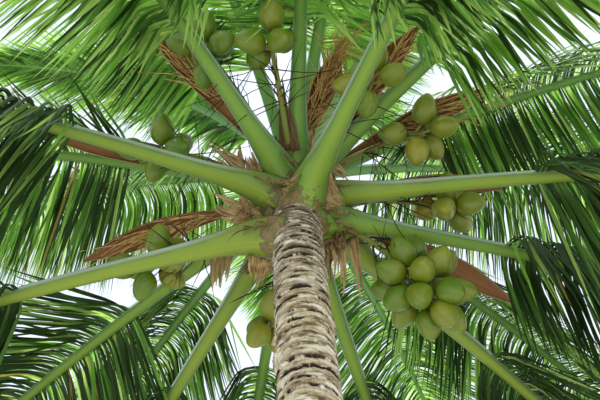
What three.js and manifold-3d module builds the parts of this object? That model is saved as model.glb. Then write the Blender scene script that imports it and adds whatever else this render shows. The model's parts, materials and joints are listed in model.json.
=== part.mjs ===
// Coconut palm: a leaning trunk with a flared foot, a spiral of arching fronds round its heart,
// and bunches of green nuts with their boat-shaped spathes in the axils of the older fronds.
// Millimetres, +Z up. The origin is the middle of the flat cut at ground level.
import * as THREE from 'three';
import { mergeVertices } from 'three/addons/utils/BufferGeometryUtils.js';
import Module from 'manifold-3d';

const wasm = await Module();
wasm.setup();
const { Manifold, Mesh: SolidMesh } = wasm;
const { degToRad, lerp, clamp } = THREE.MathUtils;

// Clearance between neighbours, cut with a little to spare, and how far a face may shift when slivers go.
const GAP = 0.5;
const TRUNK_GAP = 0.4;
const LEAST_GAP = 0.35;
const SLIVER = 0.03;
// A corner goes out further than the gap, so that the slanting faces beside it clear it too.
const CORNER_SPARE = 2;
const SHARP_CORNER_SPARE = 4;

// Trunk: from the flat cut to the tip of the heart that carries the fronds.
const CROWN_HEIGHT = 5850;
const LEAN = -300;
const LEAN_BEND = 0.27;
const TRUNK_RADIUS = 138;
const FLARE = 105;
const FLARE_HEIGHT = 330;
const HEART_FOOT = CROWN_HEIGHT - 90;
const HEART_TOP = CROWN_HEIGHT + 820;
const HEART_TIP_RADIUS = 14;
const HEART_ROUNDNESS = 0.9;
const TRUNK_SIDES = 16;
const TRUNK_LEVELS = [0, 120, 280, 500, 800, 1500, 2600, 3700, 4800, 5400];
const HEART_LEVELS = 6;

// Fronds: one more for each turn of the spiral, oldest and lowest first.
const FROND_TOTAL = 28;
const SPIRAL_START = 179.5;
const SPIRAL_TURN = 138.5;
const FIRST_FOOT = CROWN_HEIGHT - 90;
const FOOT_RISE = 22;
const OLDEST_TILT = 102;
const TILT_RANGE = 92;
const TILT_CURVE = 1.8;
const SAG = 45;
const SAG_WITH_YOUTH = 10;
const SAG_CURVE = 1.4;
const HOOK = 45;
const HOOK_LENGTH = 350;
const FROND_LENGTH = 5000;
const PETIOLE_LENGTH = 1400;
const SPEAR_AGE = 0.7;
const SPEAR_SHORTENING = 0.3;
const YOUTH_THINNING = 0.25;
const BASE_SPREAD = 145;
const BASE_SPREAD_LENGTH = 240;
const PETIOLE_WIDTH = 126;
const RIB_WIDTH = 86;
const PETIOLE_DEPTH = 68;
const RIB_DEPTH = 52;
const RIB_TIP = 12;
const RIB_KEEL = 0.55;
const PETIOLE_STATIONS = [-60, 50, 180, 640, 1160];
const CURVE_STEP = 50;

// A frond that has fallen leaves its place on the spiral empty.
const FALLEN = [2];
// How far a frond strays from the even spiral: degrees round, degrees down, millimetres down.
const STRAY = {
  0: [-3, 4, 260], 1: [-5, 0, 0], 3: [-1, 0, 0], 4: [1, 0, 0], 5: [-2, 0, 0], 6: [3, 0, 0],
  7: [1, 2, 190], 8: [-7, 4, 0], 9: [-2, -2, 240], 10: [5, 0, 0], 11: [3, 0, 0], 12: [-3, 0, 0],
  13: [4, -4, 0], 15: [10, 0, 0], 16: [-2, 0, 0], 17: [2, 2, 0], 18: [14, -8, 0], 19: [0, 2, 0],
  20: [-8, 0, 0], 21: [2, 2, 0], 22: [8, 8, 0], 23: [12, 14, 0], 25: [4, 4, 0], 26: [0, 12, 0],
};

// Leaflets: each blade stands for a spray of the real ones.
const LEAFLET_PAIRS = 8;
const LEAFLET_START = 0.4;
const LEAFLET_ROOT = 90;
const LEAFLET_LENGTH = 1240;
const LEAFLET_WIDTH = 160;
const LEAFLET_THICKNESS = 0.012;
// A leaflet bends over this part of its length from the rib, and later on a folded frond, to clear its rib.
const LEAFLET_BEND = 0.17;
const FOLDED_BEND = 0.36;
// Parts of the full length: the first leaflet's, where the longest one grows, and what the last one lacks.
const FIRST_LEAFLET = 0.72;
const LONGEST_AT = 0.25;
const LEAFLET_SHORTENING = 0.68;
const FIRST_ANGLE = 75;
const LAST_ANGLE = 35;
const FOLDED_ANGLE = 14;
const LEAFLET_RAISE = 10;
const DROOP_OLD = 0.94;
const DROOP_YOUNG = 0.3;
const LEAFLET_REACHES = [1, 0.75, 0.5];

// Nuts and their stalks.
const NUT_WIDTH = 140;
const NUT_LENGTH = 186;
const NUT_CLEARANCE = 60;
const NUT_SIDES = 5;
// Part of the nut's length from its stem, and part of its half width there.
const NUT_PROFILE = [[0, 0.1], [0.27, 0.93], [0.72, 0.88]];
const GOLDEN_ANGLE = 137.508;
// A cluster is longer than wide along its stalk, and no nut sits where the stalk comes in.
const CLUSTER_STRETCH = 0.4;
const STALK_SIDE = 0.75;
const STALK_WIDTH = 46;
const STALK_END = 26;
const STALK_FLATNESS = 0.6;
// Stalks and spathes start this part of the radius out from the axis.
const HEART_REACH = 0.7;
const STALK_ABOVE_FOOT = 66;
const STALK_ARCH = 130;
const STALK_STEPS = 6;
const TWIG_WIDTH = 16;
const TWIG_START = 20;
const CLUSTER_CORE = 34;

// axil: the frond that carries the bunch. from: degrees round at the heart. round, reach, height: the
// middle of the cluster. nuts: how many there is room for. spread: how far their middles are from it.
const BUNCHES = [
  { axil: 1, from: 28, round: 20, reach: 750, height: -400, nuts: 22, spread: 186 },
  { axil: 4, from: 354, round: 2, reach: 920, height: 110, nuts: 8, spread: 124 },
  { axil: 12, from: 322, round: 334, reach: 850, height: 330, nuts: 7, spread: 135 },
  { axil: 7, from: 298, round: 303, reach: 830, height: 300, nuts: 7, spread: 135 },
  { axil: 15, from: 264, round: 262, reach: 950, height: 300, nuts: 6, spread: 130 },
  { axil: 10, from: 245, round: 239, reach: 1000, height: 430, nuts: 8, spread: 130 },
  { axil: 5, from: 199, round: 196, reach: 860, height: 350, nuts: 7, spread: 135 },
  { axil: 0, from: 169, round: 166, reach: 870, height: -240, nuts: 7, spread: 135 },
  { axil: 3, from: 114, round: 106, reach: 600, height: -330, nuts: 5, spread: 110 },
];

// Spathes: the woody bracts that the bunches grew out of.
const SPATHE_WIDTH = 150;
const SPATHE_DEPTH = 48;
const SPATHE_NECK = 0.24;
const SPATHE_POINT = 0.08;
const SPATHE_FULLEST = 1.8;
const SPATHE_ABOVE_FOOT = 112;
const SPATHE_STEPS = 6;
const SPATHE_ARCH = 110;
const SPATHES = [
  { axil: 1, from: 22, round: 22, reach: 1450, height: -190 },
  { axil: 4, from: 350, round: 357, reach: 1280, height: 190 },
  { axil: 12, from: 328, round: 333, reach: 1360, height: 430 },
  { axil: 7, from: 302, round: 306, reach: 1250, height: 430 },
  { axil: 20, from: 286, round: 290, reach: 850, height: 600 },
  { axil: 10, from: 232, round: 230, reach: 1370, height: 420 },
  { axil: 13, from: 189, round: 191, reach: 1500, height: 380 },
  { axil: 8, from: 154, round: 164, reach: 1390, height: 40 },
];

// A bunch and its spathe are a little younger than the frond that carries them.
const BUNCH_AGE = 0.3;
const SPATHE_AGE = 0.6;

const MATERIALS = {
  bark: new THREE.MeshStandardMaterial({ color: 0x9a8a74, roughness: 0.9, metalness: 0 }),
  frond: new THREE.MeshStandardMaterial({ color: 0x6f9a3a, roughness: 0.5, metalness: 0 }),
  nut: new THREE.MeshStandardMaterial({ color: 0x9aa04c, roughness: 0.45, metalness: 0 }),
  spathe: new THREE.MeshStandardMaterial({ color: 0x7a4a2c, roughness: 0.75, metalness: 0 }),
};

function outward(round) {
  return new THREE.Vector3(Math.cos(degToRad(round)), Math.sin(degToRad(round)), 0);
}

function leanAt(height) {
  const part = height / CROWN_HEIGHT;
  return LEAN * ((1 + LEAN_BEND) * part - LEAN_BEND * part * part);
}

function trunkRadius(height) {
  if (height < HEART_FOOT) return TRUNK_RADIUS + FLARE * Math.exp(-height / FLARE_HEIGHT);
  const part = (height - HEART_FOOT) / (HEART_TOP - HEART_FOOT);
  return lerp(HEART_TIP_RADIUS, TRUNK_RADIUS, Math.pow(Math.max(1 - part, 0), HEART_ROUNDNESS));
}

// A point out from the leaning axis of the palm.
function fromAxis(round, reach, height) {
  const point = outward(round).multiplyScalar(reach);
  return point.add(new THREE.Vector3(leanAt(height), 0, height));
}

// A closed mesh put together from rings of corners.
class Shell {
  points = [];
  faces = [];

  ring(corners) {
    const first = this.points.length;
    this.points.push(...corners);
    return corners.map((_, k) => first + k);
  }

  // Joins two rings, apart from the sides left open. A ring of one point is a tip.
  bridge(near, far, open = []) {
    near.forEach((corner, k) => {
      if (open.includes(k)) return;
      const next = (k + 1) % near.length;
      if (far.length === 1) {
        this.faces.push([corner, near[next], far[0]]);
      } else {
        this.faces.push([corner, near[next], far[next]], [corner, far[next], far[k]]);
      }
    });
  }

  cap(ring) {
    for (let k = 1; k < ring.length - 1; k++) this.faces.push([ring[0], ring[k], ring[k + 1]]);
  }

  geometry() {
    let volume = 0;
    for (const [a, b, c] of this.faces) {
      volume += this.points[a].dot(new THREE.Vector3().crossVectors(this.points[b], this.points[c]));
    }
    const geometry = new THREE.BufferGeometry().setFromPoints(this.points);
    geometry.setIndex(this.faces.flatMap(([a, b, c]) => (volume > 0 ? [a, b, c] : [a, c, b])));
    return geometry;
  }
}

// Closed mesh through a row of sections.
function loft(sections) {
  const shell = new Shell();
  const rings = sections.map((section) => shell.ring(section));
  for (let row = 1; row < rings.length; row++) shell.bridge(rings[row - 1], rings[row]);
  shell.cap([...rings[0]].reverse());
  shell.cap(rings.at(-1));
  return shell.geometry();
}

function solidOf(geometry) {
  const bare = geometry.clone();
  bare.deleteAttribute('normal');
  bare.deleteAttribute('uv');
  const merged = mergeVertices(bare);
  return new Manifold(new SolidMesh({
    numProp: 3,
    vertProperties: new Float32Array(merged.attributes.position.array),
    triVerts: new Uint32Array(merged.index.array),
  }));
}

function geometryOf(solid) {
  const mesh = solid.getMesh();
  const geometry = new THREE.BufferGeometry();
  geometry.setAttribute('position', new THREE.BufferAttribute(new Float32Array(mesh.vertProperties), 3));
  geometry.setIndex(new THREE.BufferAttribute(new Uint32Array(mesh.triVerts), 1));
  geometry.computeVertexNormals();
  return geometry;
}

function trunkSolid(grow = 0) {
  const heights = [...TRUNK_LEVELS];
  for (let level = 0; level <= HEART_LEVELS; level++) {
    heights.push(lerp(HEART_FOOT, HEART_TOP, level / HEART_LEVELS));
  }
  const profile = [new THREE.Vector2(0, 0)];
  for (const height of heights) profile.push(new THREE.Vector2(trunkRadius(height) + grow, height));
  profile.push(new THREE.Vector2(0, HEART_TOP + grow));
  const geometry = new THREE.LatheGeometry(profile, TRUNK_SIDES);
  geometry.rotateX(Math.PI / 2);
  const position = geometry.attributes.position;
  for (let i = 0; i < position.count; i++) {
    position.setX(i, position.getX(i) + leanAt(position.getZ(i)));
  }
  return solidOf(geometry);
}

function frondRule(index) {
  const youth = index / (FROND_TOTAL - 1);
  const [aside, down, low] = STRAY[index] ?? [0, 0, 0];
  const round = SPIRAL_START - SPIRAL_TURN * index + aside;
  const height = FIRST_FOOT + FOOT_RISE * index - low;
  const late = clamp((youth - SPEAR_AGE) / (1 - SPEAR_AGE), 0, 1);
  return {
    index, youth, late, round,
    foot: fromAxis(round, trunkRadius(height), height),
    tilt: OLDEST_TILT - TILT_RANGE * Math.pow(youth, TILT_CURVE) + down,
    sag: SAG + SAG_WITH_YOUTH * youth,
    length: FROND_LENGTH * (1 - SPEAR_SHORTENING * late * late),
    size: 1 - YOUTH_THINNING * youth,
  };
}

// The rib's curve in its own upright plane: it hooks up out of the heart, then arches over.
function ribCurve(frond) {
  const side = outward(frond.round + 90);
  const points = [frond.foot.clone()];
  const headings = [];
  const steps = Math.round(frond.length / CURVE_STEP);
  for (let step = 0; step < steps; step++) {
    const along = (step + 0.5) * frond.length / steps;
    const hook = HOOK * Math.pow(clamp(1 - along / HOOK_LENGTH, 0, 1), 2);
    const bend = frond.sag * Math.pow(along / frond.length, SAG_CURVE);
    const fall = degToRad(frond.tilt + bend - hook);
    const heading = outward(frond.round).multiplyScalar(Math.sin(fall));
    heading.z = Math.cos(fall);
    headings.push(heading);
    points.push(points[step].clone().addScaledVector(heading, frond.length / steps));
  }
  const place = (along) => {
    const exact = along / frond.length * steps;
    const step = clamp(Math.floor(exact), 0, steps - 1);
    const forward = headings[step];
    const point = points[step].clone().addScaledVector(forward, (exact - step) * frond.length / steps);
    return { point, forward, side, up: new THREE.Vector3().crossVectors(forward, side) };
  };
  return { points, place };
}

// A base spreads as its frond opens; the folded ones at the tip of the heart are still slim.
function ribSize(frond, along) {
  const flare = BASE_SPREAD * (1 - frond.late) * Math.exp(-Math.max(along, 0) / BASE_SPREAD_LENGTH);
  const stalk = clamp(along / PETIOLE_LENGTH, 0, 1);
  const leafy = clamp((along - PETIOLE_LENGTH) / (frond.length - PETIOLE_LENGTH), 0, 1);
  return {
    width: frond.size * lerp(lerp(PETIOLE_WIDTH, RIB_WIDTH, stalk) + flare, RIB_TIP, leafy),
    depth: frond.size * lerp(lerp(PETIOLE_DEPTH, RIB_DEPTH, stalk), RIB_TIP, leafy),
  };
}

// Four corners round the rib: above on the left and the right, then below on the right and the left.
function ribSection(frond, along, grow = 0) {
  const { point, side, up } = frond.curve.place(along);
  const { width, depth } = ribSize(frond, along);
  const half = width / 2 + CORNER_SPARE * grow;
  const thick = depth / 2 + grow;
  return [[half, thick], [-half, thick], [-half * RIB_KEEL, -thick], [half * RIB_KEEL, -thick]].map(
    ([across, above]) => point.clone().addScaledVector(side, across).addScaledVector(up, above));
}

function pairPlace(frond, pair) {
  return lerp(PETIOLE_LENGTH, frond.length, (pair + LEAFLET_START) / LEAFLET_PAIRS);
}

// The petiole's stations, then two for each pair of leaflets, and the tip.
function ribStations(frond) {
  const stations = [...PETIOLE_STATIONS];
  for (let pair = 0; pair < LEAFLET_PAIRS; pair++) {
    const middle = pairPlace(frond, pair);
    stations.push(middle - LEAFLET_ROOT / 2, middle + LEAFLET_ROOT / 2);
  }
  return [...stations, frond.length];
}

function ribSolid(frond, grow = 0) {
  return solidOf(loft(ribStations(frond).map((along) => ribSection(frond, along, grow))));
}

function leafletLength(frond, part) {
  const swell = lerp(FIRST_LEAFLET, 1, Math.min(part / LONGEST_AT, 1));
  const shrink = 1 - LEAFLET_SHORTENING * part * part;
  return LEAFLET_LENGTH * swell * shrink * frond.length / FROND_LENGTH;
}

// One drooping blade: it grows from a side face of the rib, bends over and hangs to a point.
function leafletSections(frond, pair, handed, reach) {
  const along = pairPlace(frond, pair);
  const part = (along - PETIOLE_LENGTH) / (frond.length - PETIOLE_LENGTH);
  const near = ribSection(frond, along - LEAFLET_ROOT / 2);
  const far = ribSection(frond, along + LEAFLET_ROOT / 2);
  const root = handed > 0 ? [near[3], near[0], far[0], far[3]] : [near[1], near[2], far[2], far[1]];
  const middle = new THREE.Vector3();
  for (const corner of root) middle.addScaledVector(corner, 1 / root.length);
  const { forward, side, up } = frond.curve.place(along);
  const open = degToRad(lerp(lerp(FIRST_ANGLE, LAST_ANGLE, part), FOLDED_ANGLE, frond.late * frond.late));
  const out = forward.clone().multiplyScalar(Math.cos(open)).addScaledVector(side, handed * Math.sin(open));
  out.addScaledVector(up, Math.sin(degToRad(LEAFLET_RAISE))).normalize();
  const droop = lerp(DROOP_OLD, DROOP_YOUNG, frond.late * frond.late);
  const hang = out.clone().multiplyScalar(1 - droop).add(new THREE.Vector3(0, 0, -droop)).normalize();
  const length = leafletLength(frond, part) * reach;
  const blade = forward.clone().addScaledVector(out, -forward.dot(out)).normalize();
  const over = out.clone().add(hang).normalize();
  const back = new THREE.Vector3().crossVectors(blade, over).normalize();
  const half = LEAFLET_WIDTH * frond.size / 2;
  const thick = length * LEAFLET_THICKNESS / 2;
  const bendAt = lerp(LEAFLET_BEND, FOLDED_BEND, frond.late);
  const middleBend = middle.clone().addScaledVector(out, length * bendAt);
  const bend = [[-half, -thick], [-half, thick], [half, thick], [half, -thick]].map(
    ([across, above]) => middleBend.clone().addScaledVector(blade, across).addScaledVector(back, above));
  const tip = middleBend.clone().addScaledVector(hang, length * (1 - bendAt));
  return [root, bend, [tip]];
}

// The whole frond: its rib, with each leaflet in place of one side face.
function frondSolid(frond, leaflets) {
  const shell = new Shell();
  const rings = ribStations(frond).map((along) => shell.ring(ribSection(frond, along)));
  for (let row = 1; row < rings.length; row++) {
    const own = leaflets.filter((leaflet) => PETIOLE_STATIONS.length + 2 * leaflet.pair + 1 === row);
    shell.bridge(rings[row - 1], rings[row], own.map((leaflet) => leaflet.face));
    for (const { face, sections } of own) {
      const next = (face + 1) % rings[row].length;
      const root = [rings[row - 1][face], rings[row - 1][next], rings[row][next], rings[row][face]];
      const bend = shell.ring(sections[1]);
      shell.bridge(root, bend);
      shell.bridge(bend, shell.ring(sections[2]));
    }
  }
  shell.cap([...rings[0]].reverse());
  shell.cap(rings.at(-1));
  return solidOf(shell.geometry());
}

// Points along an arching stalk, from inside the heart to its far end.
function archPoints(foot, end, arch, steps) {
  const crest = foot.clone().lerp(end, 0.5);
  crest.z = Math.max(foot.z, end.z) + arch;
  return new THREE.QuadraticBezierCurve3(foot, crest, end).getPoints(steps);
}

function alongPoints(points, shape) {
  return points.map((point, i) => {
    const before = points[Math.max(i - 1, 0)];
    const after = points[Math.min(i + 1, points.length - 1)];
    const forward = after.clone().sub(before).normalize();
    const side = new THREE.Vector3(-forward.y, forward.x, 0).normalize();
    const up = new THREE.Vector3().crossVectors(forward, side);
    return shape(i / (points.length - 1)).map(
      ([across, above]) => point.clone().addScaledVector(side, across).addScaledVector(up, above));
  });
}

function heartPoint(round, height) {
  return fromAxis(round, trunkRadius(height) * HEART_REACH, height);
}

function nearestRib(point, fronds) {
  let nearest = Infinity;
  for (const frond of fronds) {
    for (const rib of frond.curve.points) nearest = Math.min(nearest, rib.distanceTo(point));
  }
  return nearest;
}

// The stalk's path, and where the nuts sit: evenly round its end, clear of the ribs and of the stalk.
function nutCluster(bunch, fronds) {
  const middle = fromAxis(bunch.round, bunch.reach, CROWN_HEIGHT + bunch.height);
  const foot = heartPoint(bunch.from, bunch.carrier.foot.z + STALK_ABOVE_FOOT);
  const path = archPoints(foot, middle, STALK_ARCH, STALK_STEPS);
  const back = path[STALK_STEPS - 1].clone().sub(middle).normalize();
  const places = [];
  for (let nut = 0; nut < bunch.nuts; nut++) {
    const level = 1 - (2 * nut + 1) / bunch.nuts;
    const out = outward(nut * GOLDEN_ANGLE).multiplyScalar(Math.sqrt(1 - level * level));
    out.z = level;
    const place = middle.clone().addScaledVector(out, bunch.spread);
    place.addScaledVector(back, CLUSTER_STRETCH * bunch.spread * out.dot(back));
    const clear = nearestRib(place, fronds) > NUT_WIDTH / 2 + NUT_CLEARANCE;
    if (clear && out.dot(back) < STALK_SIDE) places.push(place);
  }
  return { middle, path, places };
}

// A nut on its twig, in one loft from the middle of the cluster to the nut's tip.
function nutSolid(hub, place, grow) {
  const axis = place.clone().sub(hub).normalize();
  const top = place.clone().addScaledVector(axis, -NUT_LENGTH / 2);
  const across = new THREE.Vector3(0, 0, 1).cross(axis).normalize();
  const over = new THREE.Vector3().crossVectors(axis, across);
  const ring = (middle, radius) => Array.from({ length: NUT_SIDES }, (_, k) => {
    const turn = 2 * Math.PI * k / NUT_SIDES;
    const point = middle.clone().addScaledVector(across, radius * Math.cos(turn));
    return point.addScaledVector(over, radius * Math.sin(turn));
  });
  const rings = [ring(hub.clone().addScaledVector(axis, TWIG_START), TWIG_WIDTH / 2 + grow)];
  for (const [part, swell] of NUT_PROFILE) {
    const middle = top.clone().addScaledVector(axis, NUT_LENGTH * part - (part < 0.5 ? grow : 0));
    rings.push(ring(middle, swell * NUT_WIDTH / 2 + grow));
  }
  rings.push([top.clone().addScaledVector(axis, NUT_LENGTH + grow)]);
  return solidOf(loft(rings));
}

function bunchSolid({ cluster }, grow = 0) {
  const stalk = alongPoints(cluster.path, (part) => {
    const half = lerp(STALK_WIDTH, STALK_END, part) / 2 + CORNER_SPARE * grow;
    const thick = half * STALK_FLATNESS;
    return [[half, 0], [0, thick], [-half, 0], [0, -thick]];
  });
  const core = new THREE.IcosahedronGeometry(CLUSTER_CORE + grow).translate(...cluster.middle);
  let solid = solidOf(loft(stalk)).add(solidOf(core));
  for (const place of cluster.places) solid = solid.add(nutSolid(cluster.middle, place, grow));
  return solid;
}

function spatheSolid(spathe, grow = 0) {
  const foot = heartPoint(spathe.from, spathe.carrier.foot.z + SPATHE_ABOVE_FOOT);
  const tip = fromAxis(spathe.round, spathe.reach, CROWN_HEIGHT + spathe.height);
  const path = archPoints(foot, tip, SPATHE_ARCH, SPATHE_STEPS);
  const hull = alongPoints(path, (part) => {
    const belly = Math.sin(Math.PI * Math.pow(part, SPATHE_FULLEST));
    const size = Math.max(belly, lerp(SPATHE_NECK, SPATHE_POINT, part));
    const half = SPATHE_WIDTH / 2 * size + SHARP_CORNER_SPARE * grow;
    return [[half, -grow], [0, SPATHE_DEPTH * size + CORNER_SPARE * grow], [-half, -grow]];
  });
  return solidOf(loft(hull));
}

function boxesMeet(a, b) {
  for (let axis = 0; axis < 3; axis++) {
    if (a.min[axis] > b.max[axis] + GAP || b.min[axis] > a.max[axis] + GAP) return false;
  }
  return true;
}

// Cuts a piece clear of the others, and keeps its largest part.
function carve(solid, placed) {
  let result = solid;
  for (const other of placed) {
    if (boxesMeet(result.boundingBox(), other.grown.boundingBox())) result = result.subtract(other.grown);
  }
  const parts = result.simplify(SLIVER).decompose();
  return parts.reduce((best, part) => (part.volume() > best.volume() ? part : best));
}

const trunk = {
  name: 'trunk', age: -1, material: MATERIALS.bark, solid: trunkSolid(), grown: trunkSolid(TRUNK_GAP),
};

const fronds = [];
for (let index = 0; index < FROND_TOTAL; index++) {
  if (FALLEN.includes(index)) continue;
  const frond = frondRule(index);
  frond.curve = ribCurve(frond);
  fronds.push(frond);
}

const pieces = fronds.map((frond) => ({
  name: `frond_${String(frond.index).padStart(2, '0')}`,
  age: frond.index, material: MATERIALS.frond, frond,
  solid: ribSolid(frond), grown: ribSolid(frond, GAP),
}));
BUNCHES.forEach((bunch, i) => {
  bunch.carrier = fronds.find((frond) => frond.index === bunch.axil);
  bunch.cluster = nutCluster(bunch, fronds);
  pieces.push({
    name: `bunch_${i + 1}`, age: bunch.axil + BUNCH_AGE, material: MATERIALS.nut,
    solid: bunchSolid(bunch), grown: bunchSolid(bunch, GAP),
  });
});
SPATHES.forEach((spathe, i) => {
  spathe.carrier = fronds.find((frond) => frond.index === spathe.axil);
  pieces.push({
    name: `spathe_${i + 1}`, age: spathe.axil + SPATHE_AGE, material: MATERIALS.spathe,
    solid: spatheSolid(spathe), grown: spatheSolid(spathe, GAP),
  });
});

// Older pieces cut the younger ones beside them.
pieces.sort((a, b) => a.age - b.age);
const placed = [trunk];
for (const piece of pieces) {
  piece.cutters = [...placed];
  piece.solid = carve(piece.solid, piece.cutters);
  placed.push(piece);
}

// Leaflets: a blade that would touch another piece is shortened, or left out.
const blades = [];
for (const piece of placed) {
  if (!piece.frond) continue;
  const leaflets = [];
  for (let pair = 0; pair < LEAFLET_PAIRS; pair++) {
    for (const [handed, face] of [[1, 3], [-1, 1]]) {
      for (const reach of LEAFLET_REACHES) {
        const sections = leafletSections(piece.frond, pair, handed, reach);
        const blade = solidOf(loft(sections));
        const box = blade.boundingBox();
        const clear = (other) => !boxesMeet(box, other.boundingBox()) || blade.minGap(other, 1) > LEAST_GAP;
        if (placed.every((other) => other === piece || clear(other.solid)) && blades.every(clear)) {
          leaflets.push({ pair, face, sections, blade });
          break;
        }
      }
    }
  }
  blades.push(...leaflets.map((leaflet) => leaflet.blade));
  piece.leaflets = leaflets;
}

const palm = new THREE.Group();
for (const piece of placed) {
  const solid = piece.frond ? carve(frondSolid(piece.frond, piece.leaflets), piece.cutters) : piece.solid;
  const mesh = new THREE.Mesh(geometryOf(solid), piece.material);
  mesh.name = piece.name;
  palm.add(mesh);
}

export default palm;
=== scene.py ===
import json
import math
import random

import bmesh
import bpy
import numpy as np
from bpy.props import FloatProperty, FloatVectorProperty, IntProperty, PointerProperty
from mathutils import Matrix, Vector, noise
from mathutils.bvhtree import BVHTree

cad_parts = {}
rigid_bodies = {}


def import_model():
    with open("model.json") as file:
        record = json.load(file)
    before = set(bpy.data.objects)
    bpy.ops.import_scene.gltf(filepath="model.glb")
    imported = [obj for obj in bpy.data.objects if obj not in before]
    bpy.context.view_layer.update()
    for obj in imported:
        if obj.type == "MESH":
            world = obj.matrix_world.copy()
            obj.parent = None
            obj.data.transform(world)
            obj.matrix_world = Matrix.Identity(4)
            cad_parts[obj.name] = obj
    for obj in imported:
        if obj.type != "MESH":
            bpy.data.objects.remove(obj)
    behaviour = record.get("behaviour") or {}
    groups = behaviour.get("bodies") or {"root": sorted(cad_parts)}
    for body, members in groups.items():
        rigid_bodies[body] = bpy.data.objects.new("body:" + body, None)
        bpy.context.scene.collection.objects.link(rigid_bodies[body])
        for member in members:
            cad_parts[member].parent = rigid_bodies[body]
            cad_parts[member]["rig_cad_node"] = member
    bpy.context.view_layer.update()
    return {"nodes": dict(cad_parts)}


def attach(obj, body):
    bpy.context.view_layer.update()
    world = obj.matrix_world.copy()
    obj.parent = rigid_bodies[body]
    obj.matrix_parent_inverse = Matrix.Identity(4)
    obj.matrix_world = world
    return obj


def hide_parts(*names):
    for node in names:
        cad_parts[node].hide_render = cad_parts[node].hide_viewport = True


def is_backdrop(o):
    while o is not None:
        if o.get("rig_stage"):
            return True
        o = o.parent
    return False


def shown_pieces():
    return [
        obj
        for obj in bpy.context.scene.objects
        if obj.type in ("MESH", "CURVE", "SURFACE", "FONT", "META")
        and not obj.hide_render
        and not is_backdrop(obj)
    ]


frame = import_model()
NODES = sorted(frame["nodes"])

bl_info = {
    "name": "Coconut Palm",
    "version": (1, 0, 0),
    "blender": (4, 5, 0),
    "location": "View3D > Sidebar > Palm",
    "description": "Builds a coconut palm with fronds, nuts and spathes round its packed frame",
    "category": "Add Mesh",
}

BODY = "root"
DOWN = Vector((0, 0, -1))
UP = Vector((0, 0, 1))

# The heart that carries the fronds, above the foot of the crown.
LEAN_BEND = 0.27
HEART_DROP = 0.09
HEART_RISE = 0.82
HEART_TIP = 0.014
HEART_ROUNDNESS = 0.9

# Fronds: one more for each turn of the spiral, oldest and lowest first.
FROND_TOTAL = 28
SPIRAL_START = 179.5
SPIRAL_TURN = 138.5
FOOT_RISE = 0.022
OLDEST_TILT = 102
TILT_RANGE = 92
TILT_CURVE = 1.8
SAG = 45
SAG_WITH_YOUTH = 10
SAG_CURVE = 1.4
HOOK = 45
HOOK_LENGTH = 0.35
SPEAR_AGE = 0.7
SPEAR_SHORTENING = 0.3
YOUTH_THINNING = 0.25
CURVE_STEP = 0.05
RIB_TIP = 0.012
CLASP_REACH = 0.25
CLASP_CURVE = 1.2

# A frond that has fallen leaves its place on the spiral empty.
FALLEN = [2]
# How far a frond strays from the even spiral: degrees round, degrees down, metres down.
STRAY = {
    0: (-3, 4, 0.26), 1: (-5, 0, 0), 3: (-1, 0, 0), 4: (1, 0, 0), 5: (-2, 0, 0), 6: (3, 0, 0),
    7: (1, 2, 0.19), 8: (-7, 4, 0), 9: (-2, -2, 0.24), 10: (5, 0, 0), 11: (3, 0, 0), 12: (-3, 0, 0),
    13: (4, -4, 0), 15: (10, 0, 0), 16: (-2, 0, 0), 17: (2, 2, 0), 18: (14, -8, 0), 19: (0, 2, 0),
    20: (-8, 0, 0), 21: (2, 2, 0), 22: (8, 8, 0), 23: (12, 14, 0), 25: (4, 4, 0), 26: (0, 12, 0),
}

# Leaflets, as on each side of a rib.
FIRST_ANGLE = 75
LAST_ANGLE = 35
FOLDED_ANGLE = 14
LEAFLET_RAISE = 10
DROOP_OLD = 0.94
DROOP_YOUNG = 0.3

# Where the nuts of a bunch sit: evenly round the end of its stalk, clear of the ribs and of the stalk.
NUT_CLEARANCE = 0.06
GOLDEN_ANGLE = 137.508
CLUSTER_STRETCH = 0.4
STALK_SIDE = 0.75
HEART_REACH = 0.7
STALK_ABOVE_FOOT = 0.066
STALK_ARCH = 0.13
STALK_STEPS = 6

# axil: the frond that carries the bunch. start: degrees round at the heart. round, reach, height: the
# middle of the cluster. nuts: how many there is room for. spread: how far their middles are from it.
BUNCHES = [
    dict(axil=1, start=28, round=20, reach=0.75, height=-0.40, nuts=22, spread=0.186),
    dict(axil=4, start=354, round=2, reach=0.92, height=0.11, nuts=8, spread=0.124),
    dict(axil=12, start=322, round=334, reach=0.85, height=0.33, nuts=7, spread=0.135),
    dict(axil=7, start=298, round=303, reach=0.83, height=0.30, nuts=7, spread=0.135),
    dict(axil=15, start=264, round=262, reach=0.95, height=0.30, nuts=6, spread=0.13),
    dict(axil=10, start=245, round=239, reach=1.00, height=0.43, nuts=8, spread=0.13),
    dict(axil=5, start=199, round=196, reach=0.86, height=0.35, nuts=7, spread=0.135),
    dict(axil=0, start=169, round=166, reach=0.87, height=-0.24, nuts=7, spread=0.135),
    dict(axil=3, start=114, round=106, reach=0.60, height=-0.33, nuts=5, spread=0.11),
]

# Spathes: the woody bracts that the bunches grew out of.
SPATHE_ABOVE_FOOT = 0.112
SPATHE_ARCH = 0.11
SPATHE_NECK = 0.24
SPATHE_POINT = 0.08
SPATHE_FULLEST = 1.8
SPATHES = [
    dict(axil=1, start=22, round=22, reach=1.45, height=-0.19),
    dict(axil=4, start=350, round=357, reach=1.28, height=0.19),
    dict(axil=12, start=328, round=333, reach=1.36, height=0.43),
    dict(axil=7, start=302, round=306, reach=1.25, height=0.43),
    dict(axil=20, start=286, round=290, reach=0.85, height=0.60),
    dict(axil=10, start=232, round=230, reach=1.37, height=0.42),
    dict(axil=13, start=189, round=191, reach=1.50, height=0.38),
    dict(axil=8, start=154, round=164, reach=1.39, height=0.04),
]

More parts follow.
